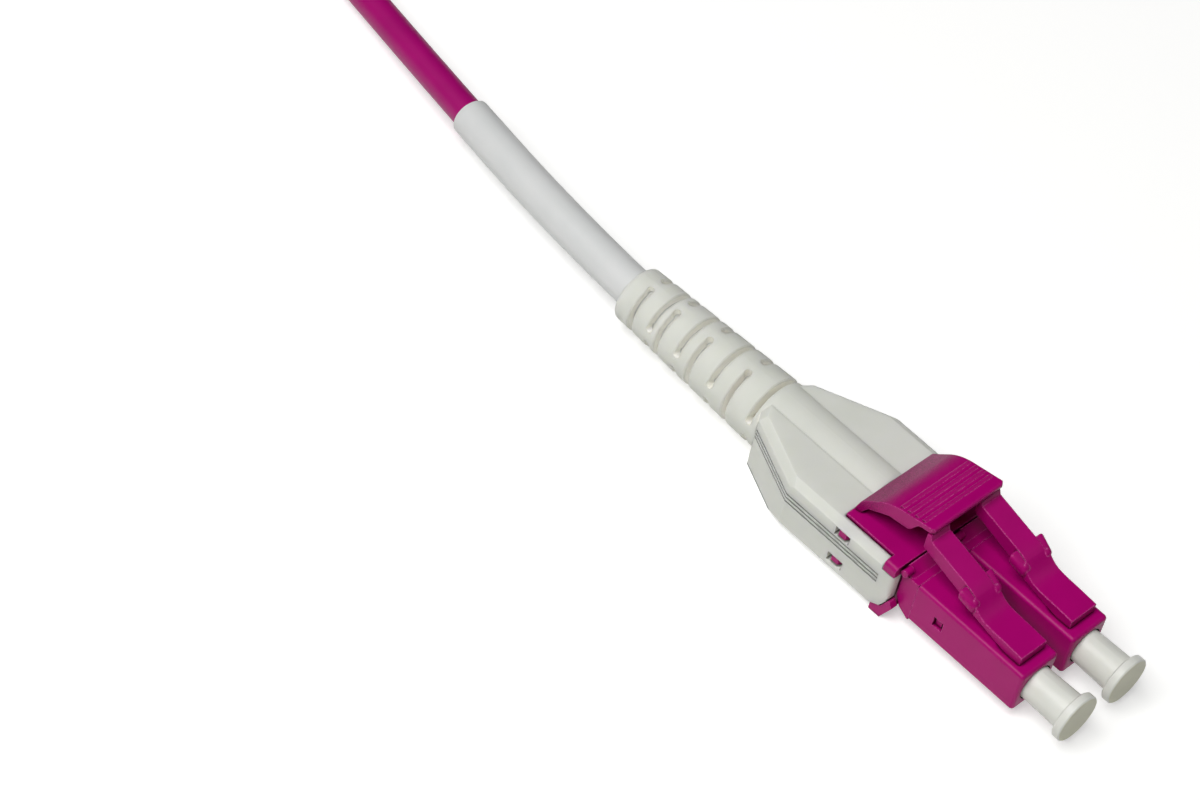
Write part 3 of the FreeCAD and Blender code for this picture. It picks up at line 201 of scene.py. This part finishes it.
@dataclass(frozen=True)
class MouldedPlastic:
    """Injection-moulded plastic with a fine mould grain and soft variation of colour.

    The eye gets a soft broad sheen, slight unevenness where the melt cooled, a fine grain, a second tone on
    the outer edges, which on the violet plastic is part rub wear and part painted highlight, painted shade
    in grooves and seams, and painted light and a painted glow in the slots of thin walls. Mould grain is
    usually a few hundredths of a millimetre wide, which is too fine to show, so it is drawn coarser.
    """

    name: str
    base: str
    deep: str
    roughness: float = 0.45
    specular: float = 0.5
    ior: float = 1.5
    grain: Grain = Grain.SATIN
    grain_mm: float = 0.12
    bump: float = 0.15
    # Depth of the grain as a share of its width.
    bump_depth: float = 0.25
    # Change of the roughness from the grain's low places to its high ones.
    gloss_change: Pair = (-0.06, 0.08)
    cloud_mm: float = 4.0
    # Values of the clouds between which the base tone turns into the deep one.
    cloud_edge: Pair = (0.3, 0.7)
    sheen: float = 0.0
    translucence: float = 0.0
    glow_mm: float = 0.8
    glow_tint: Point = (1.0, 1.0, 0.9)
    edge_mm: float = 0.0
    edge_samples: int = 4
    fade_mm: float = 0.2
    painted_hollow_shade: PaintedHollowShade | None = None
    painted_slot_light: PaintedSlotLight | None = None
    outer_edge_tone: OuterEdgeTone | None = None
    band: Band | None = None

    def make(self) -> bpy.types.Material:
        """Builds the material.

        Returns:
            The node material.
        """
        material = new_material(self.name)
        tree = material.node_tree
        place = add_node(tree, "ShaderNodeTexCoord").outputs["Object"]
        axes = add_node(tree, "ShaderNodeSeparateXYZ", links={"Vector": place})
        fine = add_node(tree, "ShaderNodeTexNoise",
                        {"Scale": 1 / (self.grain_mm * MM), "Detail": 2.0, "Roughness": 0.6},
                        {"Vector": place})
        patterns = Patterns(tree, place, axes.outputs["Y"], fine.outputs["Fac"])
        colour = self.add_clouds(patterns)
        painted_shade_share = glow = None
        # Painted shade in grooves and seams; with thin walls, also painted light and a painted glow in their
        # slots.
        if self.painted_hollow_shade:
            colour, painted_shade_share, glow = self.add_painted_hollow_shade(patterns, colour)
        if self.band:
            colour = self.add_band(patterns, colour)
        relief = add_node(tree, "ShaderNodeBump",
                          {"Strength": self.bump * self.grain.value,
                           "Distance": self.grain_mm * MM * self.bump_depth},
                          {"Height": patterns.fine})
        if self.edge_mm:
            rounded = add_node(tree, "ShaderNodeBevel",
                               {"samples": self.edge_samples, "Radius": self.edge_mm * MM}).outputs["Normal"]
            tree.links.new(rounded, relief.inputs["Normal"])
            # Second tone on the outer edges; on the violet plastic it is part rub wear, part painted
            # highlight.
            if self.outer_edge_tone and painted_shade_share is not None:
                colour = self.add_outer_edge_tone(patterns, rounded, painted_shade_share, colour)
        gloss = add_node(tree, "ShaderNodeMapRange",
                         {"To Min": self.roughness + self.gloss_change[0],
                          "To Max": self.roughness + self.gloss_change[1]},
                         {"Value": patterns.fine})
        shader = add_node(tree, "ShaderNodeBsdfPrincipled",
                          {"IOR": self.ior, "Specular IOR Level": self.specular, "Sheen Weight": self.sheen},
                          {"Base Color": colour, "Roughness": gloss.outputs["Result"],
                           "Normal": relief.outputs["Normal"]})
        if self.translucence:
            shader.inputs["Subsurface Weight"].default_value = self.translucence
            shader.inputs["Subsurface Radius"].default_value = self.glow_tint
            shader.inputs["Subsurface Scale"].default_value = self.glow_mm * MM
        # Painted glow: the slots emit light, though they are no lamp.
        if glow is not None:
            shader.inputs["Emission Color"].default_value = linear(self.painted_slot_light.colour)
            tree.links.new(glow, shader.inputs["Emission Strength"])
        add_node(tree, "ShaderNodeOutputMaterial", links={"Surface": shader.outputs["BSDF"]})
        return material

    def add_clouds(self, patterns: Patterns) -> bpy.types.NodeSocket:
        """Mixes the two base tones in soft clouds.

        Args:
            patterns: The material's tree and patterns.

        Returns:
            Socket of the plastic's colour.
        """
        tree = patterns.tree
        cloud = add_node(tree, "ShaderNodeTexNoise", {"Scale": 1 / (self.cloud_mm * MM), "Detail": 3.0},
                         {"Vector": patterns.place})
        tone = add_node(tree, "ShaderNodeMapRange",
                        {"From Min": self.cloud_edge[0], "From Max": self.cloud_edge[1]},
                        {"Value": cloud.outputs["Fac"]})
        mix = add_node(tree, "ShaderNodeMix",
                       {"data_type": "RGBA", MIX_A: linear(self.base), MIX_B: linear(self.deep)},
                       {"Factor": tone.outputs["Result"]})
        return mix.outputs[MIX_RESULT]

    def add_painted_hollow_shade(self, patterns: Patterns, colour: bpy.types.NodeSocket
                    ) -> tuple[bpy.types.NodeSocket, bpy.types.NodeSocket, bpy.types.NodeSocket | None]:
        """Paints shade into grooves and seams, and paints light and a glow into the slots of thin walls.

        Args:
            patterns: The material's tree and patterns.
            colour: Colour of the open surface.

        Returns:
            Colour with the painted shade and slot light, the painted shade's share, and the strength of the
            painted glow.
        """
        tree, painted_hollow_shade, slot_light = patterns.tree, self.painted_hollow_shade, self.painted_slot_light
        sky = add_node(tree, "ShaderNodeAmbientOcclusion",
                       {"samples": painted_hollow_shade.samples, "Distance": painted_hollow_shade.reach_mm * MM})
        painted_shade_share = add_node(tree, "ShaderNodeMapRange",
                          {"From Min": painted_hollow_shade.open_sky[0], "From Max": painted_hollow_shade.open_sky[1]},
                          {"Value": sky.outputs["AO"]}).outputs["Result"]
        # Painted shade: grooves and seams take the darker tone.
        with_painted_shade = add_node(tree, "ShaderNodeMix", {"data_type": "RGBA", MIX_B: linear(painted_hollow_shade.colour)},
                            {"Factor": painted_shade_share, MIX_A: colour}).outputs[MIX_RESULT]
        if slot_light is None:
            return with_painted_shade, painted_shade_share, None
        rear = add_node(tree, "ShaderNodeMapRange",
                        {"From Min": slot_light.start_mm * MM, "From Max": (slot_light.start_mm + self.fade_mm) * MM},
                        {"Value": patterns.along}).outputs["Result"]
        reach = add_node(tree, "ShaderNodeMapRange",
                         {"To Min": painted_hollow_shade.reach_mm * MM, "To Max": slot_light.reach_mm * MM}, {"Value": rear})
        tree.links.new(reach.outputs["Result"], sky.inputs["Distance"])
        # Painted light: the slots behind the start take a lighter colour and a glow.
        slots = add_node(tree, "ShaderNodeMath", {"operation": "MULTIPLY"}, {0: painted_shade_share, 1: rear})
        share = slots.outputs["Value"]
        with_painted_slot_light = add_node(tree, "ShaderNodeMix", {"data_type": "RGBA", MIX_B: linear(slot_light.colour)},
                             {"Factor": share, MIX_A: with_painted_shade}).outputs[MIX_RESULT]
        glow = add_node(tree, "ShaderNodeMapRange", {"To Max": slot_light.glow}, {"Value": share})
        return with_painted_slot_light, painted_shade_share, glow.outputs["Result"]

    def add_band(self, patterns: Patterns, colour: bpy.types.NodeSocket) -> bpy.types.NodeSocket:
        """Mixes a second tone into the colour along a stretch of the piece's length.

        Args:
            patterns: The material's tree and patterns.
            colour: Colour of the plastic beside the band.

        Returns:
            Colour socket with the band.
        """
        tree, band = patterns.tree, self.band
        start, end = band.along_mm
        along = add_node(tree, "ShaderNodeMapRange", {"From Min": start * MM, "From Max": end * MM},
                         {"Value": patterns.along})
        specks = add_node(tree, "ShaderNodeMapRange",
                          {"From Min": 1.0 + band.spread[0] - band.share,
                           "From Max": 1.0 + band.spread[1] - band.share},
                          {"Value": patterns.fine})
        share = add_node(tree, "ShaderNodeMath", {"operation": "MULTIPLY"},
                         {0: along.outputs["Result"], 1: specks.outputs["Result"]})
        mix = add_node(tree, "ShaderNodeMix", {"data_type": "RGBA", MIX_B: linear(band.colour)},
                       {"Factor": share.outputs["Value"], MIX_A: colour})
        return mix.outputs[MIX_RESULT]

    def add_outer_edge_tone(self, patterns: Patterns, rounded: bpy.types.NodeSocket, painted_shade_share: bpy.types.NodeSocket,
                  colour: bpy.types.NodeSocket) -> bpy.types.NodeSocket:
        """Mixes the edge tone into the colour, only where the surface turns over an outer edge.

        Args:
            patterns: The material's tree and patterns.
            rounded: Normal with rounded edges.
            painted_shade_share: Share of the painted shade in grooves and seams, which stay without the edge
                tone.
            colour: Colour of the plastic without the edge tone.

        Returns:
            Colour socket with the edge tone.
        """
        tree, outer_edge_tone = patterns.tree, self.outer_edge_tone
        flat = add_node(tree, "ShaderNodeNewGeometry").outputs["Normal"]
        turn = add_node(tree, "ShaderNodeVectorMath", {"operation": "DOT_PRODUCT"}, {0: rounded, 1: flat})
        edge = add_node(tree, "ShaderNodeMapRange",
                        {"From Min": outer_edge_tone.turn[0], "From Max": outer_edge_tone.turn[1]},
                        {"Value": turn.outputs["Value"]})
        specks = add_node(tree, "ShaderNodeMapRange",
                          {"From Min": 1.0 + outer_edge_tone.spread[0] - outer_edge_tone.share,
                           "From Max": 1.0 + outer_edge_tone.spread[1] - outer_edge_tone.share},
                          {"Value": patterns.fine})
        stretch = add_node(tree, "ShaderNodeMapRange",
                           {"From Min": outer_edge_tone.start_mm * MM,
                            "From Max": (outer_edge_tone.start_mm + self.fade_mm) * MM},
                           {"Value": patterns.along})
        outer = add_node(tree, "ShaderNodeMath", {"operation": "SUBTRACT", 0: 1.0}, {1: painted_shade_share})
        share = outer.outputs["Value"]
        for part in (stretch, edge, specks):
            share = add_node(tree, "ShaderNodeMath", {"operation": "MULTIPLY"},
                             {0: share, 1: part.outputs["Result"]}).outputs["Value"]
        mix = add_node(tree, "ShaderNodeMix", {"data_type": "RGBA", MIX_B: linear(outer_edge_tone.colour)},
                       {"Factor": share, MIX_A: colour})
        return mix.outputs[MIX_RESULT]


@dataclass(frozen=True)
class TurnedMetal:
    """Small turned metal piece, nickel plated or drawn.

    The eye gets a bright sharp sheen with fine lathe lines round the piece's axis.
    """

    name: str
    colour: str
    roughness: float = 0.28
    gloss_change: Pair = (-0.08, 0.1)
    line_mm: float = 0.05
    # Scale of the lines across the axis, which draws them out round it.
    line_squeeze: float = 0.05

    def make(self) -> bpy.types.Material:
        """Builds the material.

        Returns:
            The node material.
        """
        material = new_material(self.name)
        tree = material.node_tree
        place = add_node(tree, "ShaderNodeTexCoord")
        squeeze = add_node(tree, "ShaderNodeMapping", {"Scale": (self.line_squeeze, 1.0, self.line_squeeze)},
                           {"Vector": place.outputs["Object"]})
        lines = add_node(tree, "ShaderNodeTexNoise", {"Scale": 1 / (self.line_mm * MM)},
                         {"Vector": squeeze.outputs["Vector"]})
        gloss = add_node(tree, "ShaderNodeMapRange",
                         {"To Min": self.roughness + self.gloss_change[0],
                          "To Max": self.roughness + self.gloss_change[1]},
                         {"Value": lines.outputs["Fac"]})
        shader = add_node(tree, "ShaderNodeBsdfPrincipled",
                          {"Metallic": 1.0, "Base Color": linear(self.colour)},
                          {"Roughness": gloss.outputs["Result"]})
        add_node(tree, "ShaderNodeOutputMaterial", links={"Surface": shader.outputs["BSDF"]})
        return material


# Polycarbonate blend of plugs, frame and trigger: strong violet-pink, fine matt grain, painted shade in
# seams and grooves, and a light edge tone that is part rub wear, part painted highlight.
HEATHER_PLASTIC = MouldedPlastic("heather_polycarbonate", "#ad006f", "#a50069", roughness=0.36,
                                 specular=0.2, grain=Grain.SPARKED, edge_mm=0.14,
                                 painted_hollow_shade=PaintedHollowShade("#560030", 0.35), outer_edge_tone=OuterEdgeTone("#d860a6"))
# Boot housing: light warm grey elastomer, matt, with painted grey shade in its grip grooves, painted light
# and a painted glow in the slots of its thin walls, and a darker yellowish tone on the outer edges of its
# rear part.
BOOT_PLASTIC = MouldedPlastic("light_grey_boot_elastomer", "#dfe0d9", "#dadcd4", roughness=0.55,
                              specular=0.3, translucence=1.0, glow_mm=1.2, edge_mm=0.05,
                              painted_hollow_shade=PaintedHollowShade("#91928a", 0.25, open_sky=(0.96, 0.76)),
                              painted_slot_light=PaintedSlotLight("#f3f1e8", 9.6),
                              outer_edge_tone=OuterEdgeTone("#bdb7a0", share=0.9, start_mm=10.0))
# Low-density polyethylene dust cap: soft milky white.
CAP_PLASTIC = MouldedPlastic("milky_polyethylene", "#e2e3dc", "#dcddd5", roughness=0.38, specular=0.4,
                             grain=Grain.POLISHED, translucence=0.3, edge_mm=0.08)
# White heat-shrink sleeve: smooth satin tube.
SLEEVE_PLASTIC = MouldedPlastic("white_sleeve_polyolefin", "#dddedd", "#d8dad9", roughness=0.42,
                                specular=0.35, translucence=0.1)
# Low-smoke cable jacket, extruded: heather violet and satin.
JACKET_PLASTIC = MouldedPlastic("heather_lszh_jacket", "#a8006e", "#9f0068", specular=0.35)
# Hook-and-loop ties of the hank: black and dull, with a coarse nap.
TIE_FABRIC = MouldedPlastic("black_hook_and_loop", "#1c1c1e", "#141416", roughness=0.85,
                            grain=Grain.SPARKED, grain_mm=0.3, bump=0.6, sheen=0.3)
# Zirconia ferrule, ground and polished: white and glossy.
FERRULE_CERAMIC = MouldedPlastic("zirconia_ceramic", "#f0efe8", "#eceae2", roughness=0.12,
                                 grain=Grain.POLISHED)
# Buffered fibre, extruded: off-white and smooth.
BUFFER_PLASTIC = MouldedPlastic("white_fibre_buffer", "#e8e6dc", "#e0ded4", roughness=0.4,
                                grain=Grain.POLISHED)
# Flanges, crimp post and crimp ring, turned and plated: warm and bright.
NICKEL = TurnedMetal("nickel_plated_brass", "#cfc9b8")
# Spring wire, drawn: cold and bright.
SPRING_STEEL = TurnedMetal("drawn_spring_steel", "#b9babb", roughness=0.22)


# ---------------------------------------------------------------- sub-assemblies


class Side(Enum):
    """The two channels of the duplex connector."""

    LEFT = "a"
    RIGHT = "b"


@dataclass
class LatchArm:
    """Latch of one plug: an arm that grows out of the plug, locking lugs and a narrower sloped tail.

    All lengths are in millimetres, behind the plug's face and over its axis.
    """

    side: Side
    material: bpy.types.Material
    # Outline seen from the side: underside to the rear, rear lip, and the top back to the front.
    outline: tuple[Pair, ...] = (
        (1.1, 2.21), (2.6, 2.21), (8.45, 3.71), (13.15, 5.2), (13.15, 6.86), (12.75, 6.86), (12.55, 6.36),
        (10.3, 5.74), (8.3, 5.2), (7.8, 5.05), (7.4, 4.88), (7.05, 4.66), (6.75, 4.41), (6.45, 4.13),
        (6.1, 3.84), (5.75, 3.63), (5.4, 3.5), (5.0, 3.42), (4.3, 3.35), (3.0, 3.29), (1.1, 3.15))
    arm_half: float = 1.55
    tail_half: float = 1.15
    narrowing: Pair = (6.6, 7.1)
    edge: float = 0.05
    edge_steps: int = 2
    sharp_deg: float = 30.0
    lug_inner: float = 0.9
    lug_outer: float = 2.1
    lug_front: float = 1.8
    lug_place: Pair = (6.5, 8.3)
    lug_level: Pair = (4.15, 5.18)
    lug_fall: float = 0.8
    lug_edge: float = 0.33
    lug_steps: int = 4
    cut_tolerance: float = 1e-5
    row_tolerance: float = 1e-4

    def shape_arm(self, bm: bmesh.types.BMesh) -> None:
        """Shapes arm and tail: the side outline drawn out to its width, narrowed behind the lugs.

        Args:
            bm: Empty mesh to build in.
        """
        corners = [bm.verts.new((-self.arm_half, along, up)) for along, up in self.outline]
        rim = [bm.edges.new(pair) for pair in zip(corners, corners[1:] + corners[:1])]
        start = bmesh.ops.edgeloop_fill(bm, edges=rim)["faces"]
        drawn = bmesh.ops.extrude_face_region(bm, geom=start)
        moved = [item for item in drawn["geom"] if isinstance(item, bmesh.types.BMVert)]
        bmesh.ops.translate(bm, verts=moved, vec=(2 * self.arm_half, 0.0, 0.0))
        for along in self.narrowing:
            bmesh.ops.bisect_plane(bm, geom=bm.verts[:] + bm.edges[:] + bm.faces[:],
                                   plane_co=(0.0, along, 0.0), plane_no=(0.0, 1.0, 0.0),
                                   dist=self.cut_tolerance)
        behind = [vert for vert in bm.verts if vert.co.y > self.narrowing[1] - self.row_tolerance]
        bmesh.ops.scale(bm, verts=behind, vec=(self.tail_half / self.arm_half, 1.0, 1.0))
        bmesh.ops.recalc_face_normals(bm, faces=bm.faces[:])
        sharp = [edge for edge in bm.edges if edge.calc_face_angle(0.0) > math.radians(self.sharp_deg)]
        bmesh.ops.bevel(bm, geom=sharp, offset=self.edge, segments=self.edge_steps, profile=0.5,
                        affect="EDGES", material=-1, clamp_overlap=True)
        bmesh.ops.triangulate(bm, faces=[face for face in bm.faces if len(face.verts) > 4])

    def shape_lug(self, bm: bmesh.types.BMesh, way: int) -> None:
        """Adds the rounded locking lug of one flank, which falls and narrows forward into the pad.

        Args:
            bm: Mesh to add to.
            way: 1 for the right flank, -1 for the left one.
        """
        front, rear = self.lug_place
        low, high = self.lug_level
        middle = Vector((way * (self.lug_inner + self.lug_outer) / 2, (front + rear) / 2, (low + high) / 2))
        size = Vector((self.lug_outer - self.lug_inner, rear - front, high - low))
        block = bmesh.ops.create_cube(bm, size=1.0, matrix=Matrix.LocRotScale(middle, None, size))["verts"]
        ahead = [vert for vert in block if vert.co.y < middle.y]
        bmesh.ops.translate(bm, verts=ahead, vec=(0.0, 0.0, -self.lug_fall))
        corner = [vert for vert in ahead if abs(vert.co.x) > abs(middle.x)]
        bmesh.ops.translate(bm, verts=corner, vec=(way * (self.lug_front - self.lug_outer), 0.0, 0.0))
        edges = {edge for vert in block for edge in vert.link_edges}
        bmesh.ops.bevel(bm, geom=list(edges), offset=self.lug_edge, segments=self.lug_steps, profile=0.5,
                        affect="EDGES", material=-1, clamp_overlap=True)

    def build(self) -> bpy.types.Object:
        """Builds the latch in place of its plain solid.

        Returns:
            The latch object.
        """
        letter = self.side.value
        bm = bmesh.new()
        self.shape_arm(bm)
        for way in (-1, 1):
            self.shape_lug(bm, way)
        middle = sum(corner[0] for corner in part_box(f"plug_latch_{letter}")) / 2
        place = Matrix.Translation((middle, FACE_Y * MM, AXIS_Z * MM)) @ Matrix.Scale(MM, 4)
        bmesh.ops.transform(bm, verts=bm.verts[:], matrix=place)
        for face in bm.faces:
            face.smooth = True
        mesh = bpy.data.meshes.new(f"latch_arm_{letter}")
        bm.to_mesh(mesh)
        bm.free()
        latch = bpy.data.objects.new(f"latch_arm_{letter}", mesh)
        bpy.context.scene.collection.objects.link(latch)
        latch.modifiers.new("flat_faces", "WEIGHTED_NORMAL").keep_sharp = True
        mesh.materials.append(self.material)
        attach(latch, f"latch_{letter}")
        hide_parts(f"plug_latch_{letter}")
        LOG.info("latch %s: %d faces", letter, len(mesh.polygons))
        return latch


@dataclass
class PlugPair:
    """The two plugs with their latches, ferrules, springs and dust caps."""

    violet: bpy.types.Material
    metal: bpy.types.Material
    # Painted shade on the caps' front faces, which face away from the light: its darker yellow-grey tone,
    # and the depth over which it comes in.
    cap_face_painted_shade: str = "#cfceb3"
    cap_face_painted_shade_mm: float = 0.05

    def dress(self) -> None:
        """Gives all pieces of both plugs their finishes."""
        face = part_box("dust_cap_a")[0][1] / MM
        # Painted shade: the caps' front faces take a darker tone.
        cap = replace(CAP_PLASTIC, band=Band(self.cap_face_painted_shade, (face + self.cap_face_painted_shade_mm, face)))
        finishes = {"plug_housing": self.violet, "plug_rear": self.violet,
                    "ferrule": FERRULE_CERAMIC.make(), "ferrule_flange": self.metal,
                    "ferrule_spring": SPRING_STEEL.make(), "dust_cap": cap.make(),
                    "fibre_buffer": BUFFER_PLASTIC.make()}
        for side in Side:
            LatchArm(side, self.violet).build()
            for part, material in finishes.items():
                dress_node(f"{part}_{side.value}", material)


@dataclass
class BootAssembly:
    """The boot housing with the frame halves, trigger and crimp inside it."""

    violet: bpy.types.Material
    metal: bpy.types.Material
    # Darker tone that comes in speck by speck towards the trigger's root, its length and its share of the
    # surface.
    root_specks: str = "#6c0046"
    root_specks_mm: float = 3.4
    root_specks_share: float = 0.47

    def dress(self) -> None:
        """Gives housing, frame, trigger and crimp their finishes."""
        dress_node("boot_housing", BOOT_PLASTIC.make())
        for node in ("frame_upper", "frame_lower"):
            dress_node(node, self.violet)
        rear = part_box("trigger")[1][1] / MM
        root = Band(self.root_specks, (rear - self.root_specks_mm, rear - self.root_specks_mm / 2), self.root_specks_share)
        dark_root_plastic = replace(HEATHER_PLASTIC, name="heather_polycarbonate_dark_root", band=root)
        dress_node("trigger", dark_root_plastic.make())
        for node in ("crimp_post", "crimp_ring"):
            dress_node(node, self.metal)


@dataclass
class CableRun:
    """The cable: from the crimp through boot and sleeve, and on into the tied hank.

    All lengths are in millimetres, apart from the whole length, which is in metres.
    """

    # The middle line's points up to the hank, seen from the plugs' face and axis.
    route: tuple[Point, ...] = (
        (0.0, 35.6, 0.0),
        (0.0, 50.0, 0.0),
        (1.2, 64.5, -0.1),
        (3.6, 79.0, -0.6),
        (6.0, 91.7, -1.3),
        (8.2, 103.5, -1.8),
        (9.1, 114.0, -1.9),
    )
    exit_point: Point = (0.0, 50.6, 0.0)
    diameter: float = 3.0
    length: float = 0.95
    # Steps round the cord, and between two points of its line.
    steps: int = 8
    hank_middle: Pair = (-2.9, 134.5)
    hank_lift: float = 0.5
    fold_radii: tuple[float, ...] = (12.0, 9.0)
    fold_run: float = 24.0
    fold_points: int = 5
    # Share of a straight run's half at which its outer points lie.
    run_share: float = 0.6
    layers: int = 4
    # Share of a turn after which the cable moves over to the next one, and the share it has for that.
    crossing: float = 0.72
    crossing_run: float = 0.28
    # Points that the last turn lacks at its end.
    points_off: int = 4
    ties: tuple[str, ...] = ("hank_tie_a", "hank_tie_b")

    def placed(self, point: Point) -> Vector:
        """Carries a point from the plugs' face and axis into the part.

        Args:
            point: Point in millimetres.

        Returns:
            The point in metres.
        """
        return Vector((point[0] * MM, (point[1] + FACE_Y) * MM, (point[2] + AXIS_Z) * MM))

    def turn_line(self, radius: float) -> list[Pair]:
        """Works out one turn of the hank in plan, from the near end of its right run.

        Args:
            radius: Radius of the folds, in millimetres.

        Returns:
            Points beside and behind the hank's middle, in millimetres.
        """
        half = self.fold_run / 2
        run = (-half * self.run_share, 0.0, half * self.run_share)
        points = [(radius, along) for along in run]
        for way, middle in ((1, half), (-1, -half)):
            for step in range(self.fold_points + 1):
                angle = math.pi * step / self.fold_points
                points.append((way * radius * math.cos(angle), middle + way * radius * math.sin(angle)))
            if way == 1:
                points += [(-radius, along) for along in reversed(run)]
        return points

    def hank_points(self) -> list[Vector]:
        """Works out the points of the wound length.

        Returns:
            Points of all turns, layer by layer, in metres.
        """
        turns = []
        for layer in range(self.layers):
            radii = self.fold_radii if layer % 2 == 0 else self.fold_radii[::-1]
            turns += [(radius, layer) for radius in radii]
        points = []
        centre_x, centre_y = self.hank_middle
        for here, after in zip(turns, turns[1:] + turns[-1:]):
            line = self.turn_line(here[0])
            for step, (inner, outer) in enumerate(zip(line, self.turn_line(after[0]))):
                blend = max(0.0, (step / len(line) - self.crossing) / self.crossing_run)
                across = inner[0] + (outer[0] - inner[0]) * blend
                along = inner[1] + (outer[1] - inner[1]) * blend
                level = here[1] + (after[1] - here[1]) * blend
                height = self.hank_lift + self.diameter / 2 + level * self.diameter
                place = (centre_x + across, centre_y + along + FACE_Y, height)
                points.append(Vector([value * MM for value in place]))
        return points[:-self.points_off]

    def make_cord(self) -> bpy.types.Object:
        """Lays the whole cable as one smooth curve.

        Returns:
            The curve object.
        """
        curve = bpy.data.curves.new("cable_line", "CURVE")
        curve.dimensions = "3D"
        curve.bevel_depth = self.diameter / 2 * MM
        curve.bevel_resolution = self.steps
        curve.use_fill_caps = True
        curve.resolution_u = self.steps
        spline = curve.splines.new("NURBS")
        points = [self.placed(point) for point in self.route] + self.hank_points()
        spline.points.add(len(points) - 1)
        for knot, point in zip(spline.points, points):
            knot.co = (*point, 1.0)
        spline.order_u = 3
        spline.use_endpoint_u = True
        cable = bpy.data.objects.new("cable_cord", curve)
        bpy.context.scene.collection.objects.link(cable)
        cable.data.materials.append(JACKET_PLASTIC.make())
        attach(cable, "housing")
        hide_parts("cable", "cable_hank")
        LOG.info("cable: %d points", len(points))
        return cable

    def dress(self) -> None:
        """Gives sleeve and ties their finishes."""
        dress_node("cable_sleeve", SLEEVE_PLASTIC.make())
        tie = TIE_FABRIC.make()
        for node in self.ties:
            dress_node(node, tie)


# ---------------------------------------------------------------- stage


@dataclass(frozen=True)
class Lamp:
    """Square soft lamp that faces the connector, with place and side in metres and power in watts."""

    name: str
    place: Point
    side: float
    power: float

    def build(self) -> None:
        """Hangs the lamp."""
        lamp = bpy.data.lights.new(self.name, "AREA")
        lamp.size = self.side
        lamp.energy = self.power
        holder = bpy.data.objects.new(self.name, lamp)
        bpy.context.scene.collection.objects.link(holder)
        holder.location = self.place
        holder.rotation_euler = (-Vector(self.place)).to_track_quat("-Z", "Y").to_euler()


@dataclass
class Studio:
    """Pale floor, soft lamps and the camera, with all places in metres."""

    camera_place: Point = (-0.16626, -0.09779, 0.21659)
    camera_target: Point = (-0.01127, 0.02040, 0.0034)
    camera_roll_deg: float = 12.605
    sensor_mm: float = 36.0
    focal_mm: float = 102.0
    clip: Pair = (0.005, 10.0)
    floor_half: float = 2.0
    floor_colour: str = "#dcdcda"
    floor_lift: float = 0.46
    world_strength: float = 0.15
    lamps: tuple[Lamp, ...] = (Lamp("key", (-0.3, 0.03, 0.53), 0.4, 3.7),
                               Lamp("fill", (0.25, -0.3, 0.5), 0.5, 0.35))

    def make_camera(self) -> None:
        """Places the camera with its roll."""
        camera = bpy.data.cameras.new("camera")
        camera.sensor_width = self.sensor_mm
        camera.lens = self.focal_mm
        camera.clip_start, camera.clip_end = self.clip
        viewer = bpy.data.objects.new("camera", camera)
        bpy.context.scene.collection.objects.link(viewer)
        place = Vector(self.camera_place)
        aim = (Vector(self.camera_target) - place).to_track_quat("-Z", "Y").to_matrix().to_4x4()
        roll = Matrix.Rotation(math.radians(self.camera_roll_deg), 4, "Z")
        viewer.matrix_world = Matrix.Translation(place) @ aim @ roll
        bpy.context.scene.camera = viewer

    def make_floor(self) -> None:
        """Lays the floor, which shows white to the camera and keeps the shadow."""
        bm = bmesh.new()
        bmesh.ops.create_grid(bm, x_segments=1, y_segments=1, size=self.floor_half)
        mesh = bpy.data.meshes.new("floor")
        bm.to_mesh(mesh)
        bm.free()
        floor = bpy.data.objects.new("floor", mesh)
        bpy.context.scene.collection.objects.link(floor)
        material = new_material("white_table")
        tree = material.node_tree
        matt = add_node(tree, "ShaderNodeBsdfDiffuse", {"Color": linear(self.floor_colour)})
        ray = add_node(tree, "ShaderNodeLightPath")
        seen = ray.outputs["Is Camera Ray"]
        for kind in ("Is Glossy Ray", "Is Transmission Ray"):
            either = add_node(tree, "ShaderNodeMath", {"operation": "MAXIMUM"},
                              {0: seen, 1: ray.outputs[kind]})
            seen = either.outputs["Value"]
        lift = add_node(tree, "ShaderNodeMath", {"operation": "MULTIPLY", 1: self.floor_lift}, {0: seen})
        glow = add_node(tree, "ShaderNodeEmission", links={"Strength": lift.outputs["Value"]})
        both = add_node(tree, "ShaderNodeAddShader",
                        links={0: matt.outputs["BSDF"], 1: glow.outputs["Emission"]})
        add_node(tree, "ShaderNodeOutputMaterial", links={"Surface": both.outputs["Shader"]})
        mesh.materials.append(material)

    def make_world(self) -> None:
        """Sets a soft white surround."""
        world = bpy.data.worlds.new("surround")
        bpy.context.scene.world = world
        world.use_nodes = True
        world.node_tree.nodes["Background"].inputs["Strength"].default_value = self.world_strength

    def build(self) -> None:
        """Builds camera, floor, lamps and surround."""
        self.make_camera()
        self.make_floor()
        self.make_world()
        for lamp in self.lamps:
            lamp.build()
        bpy.context.scene.view_settings.view_transform = "Standard"


def main() -> None:
    """Builds the whole scene in order and reports each part."""
    logging.basicConfig(level=logging.INFO, format="%(name)s: %(message)s")
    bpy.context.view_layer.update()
    Studio().build()
    run = CableRun()
    run.make_cord()
    run.dress()
    violet, metal = HEATHER_PLASTIC.make(), NICKEL.make()
    PlugPair(violet, metal).dress()
    BootAssembly(violet, metal).dress()
    LOG.info("boxes written")


if __name__ == "__main__":
    main()
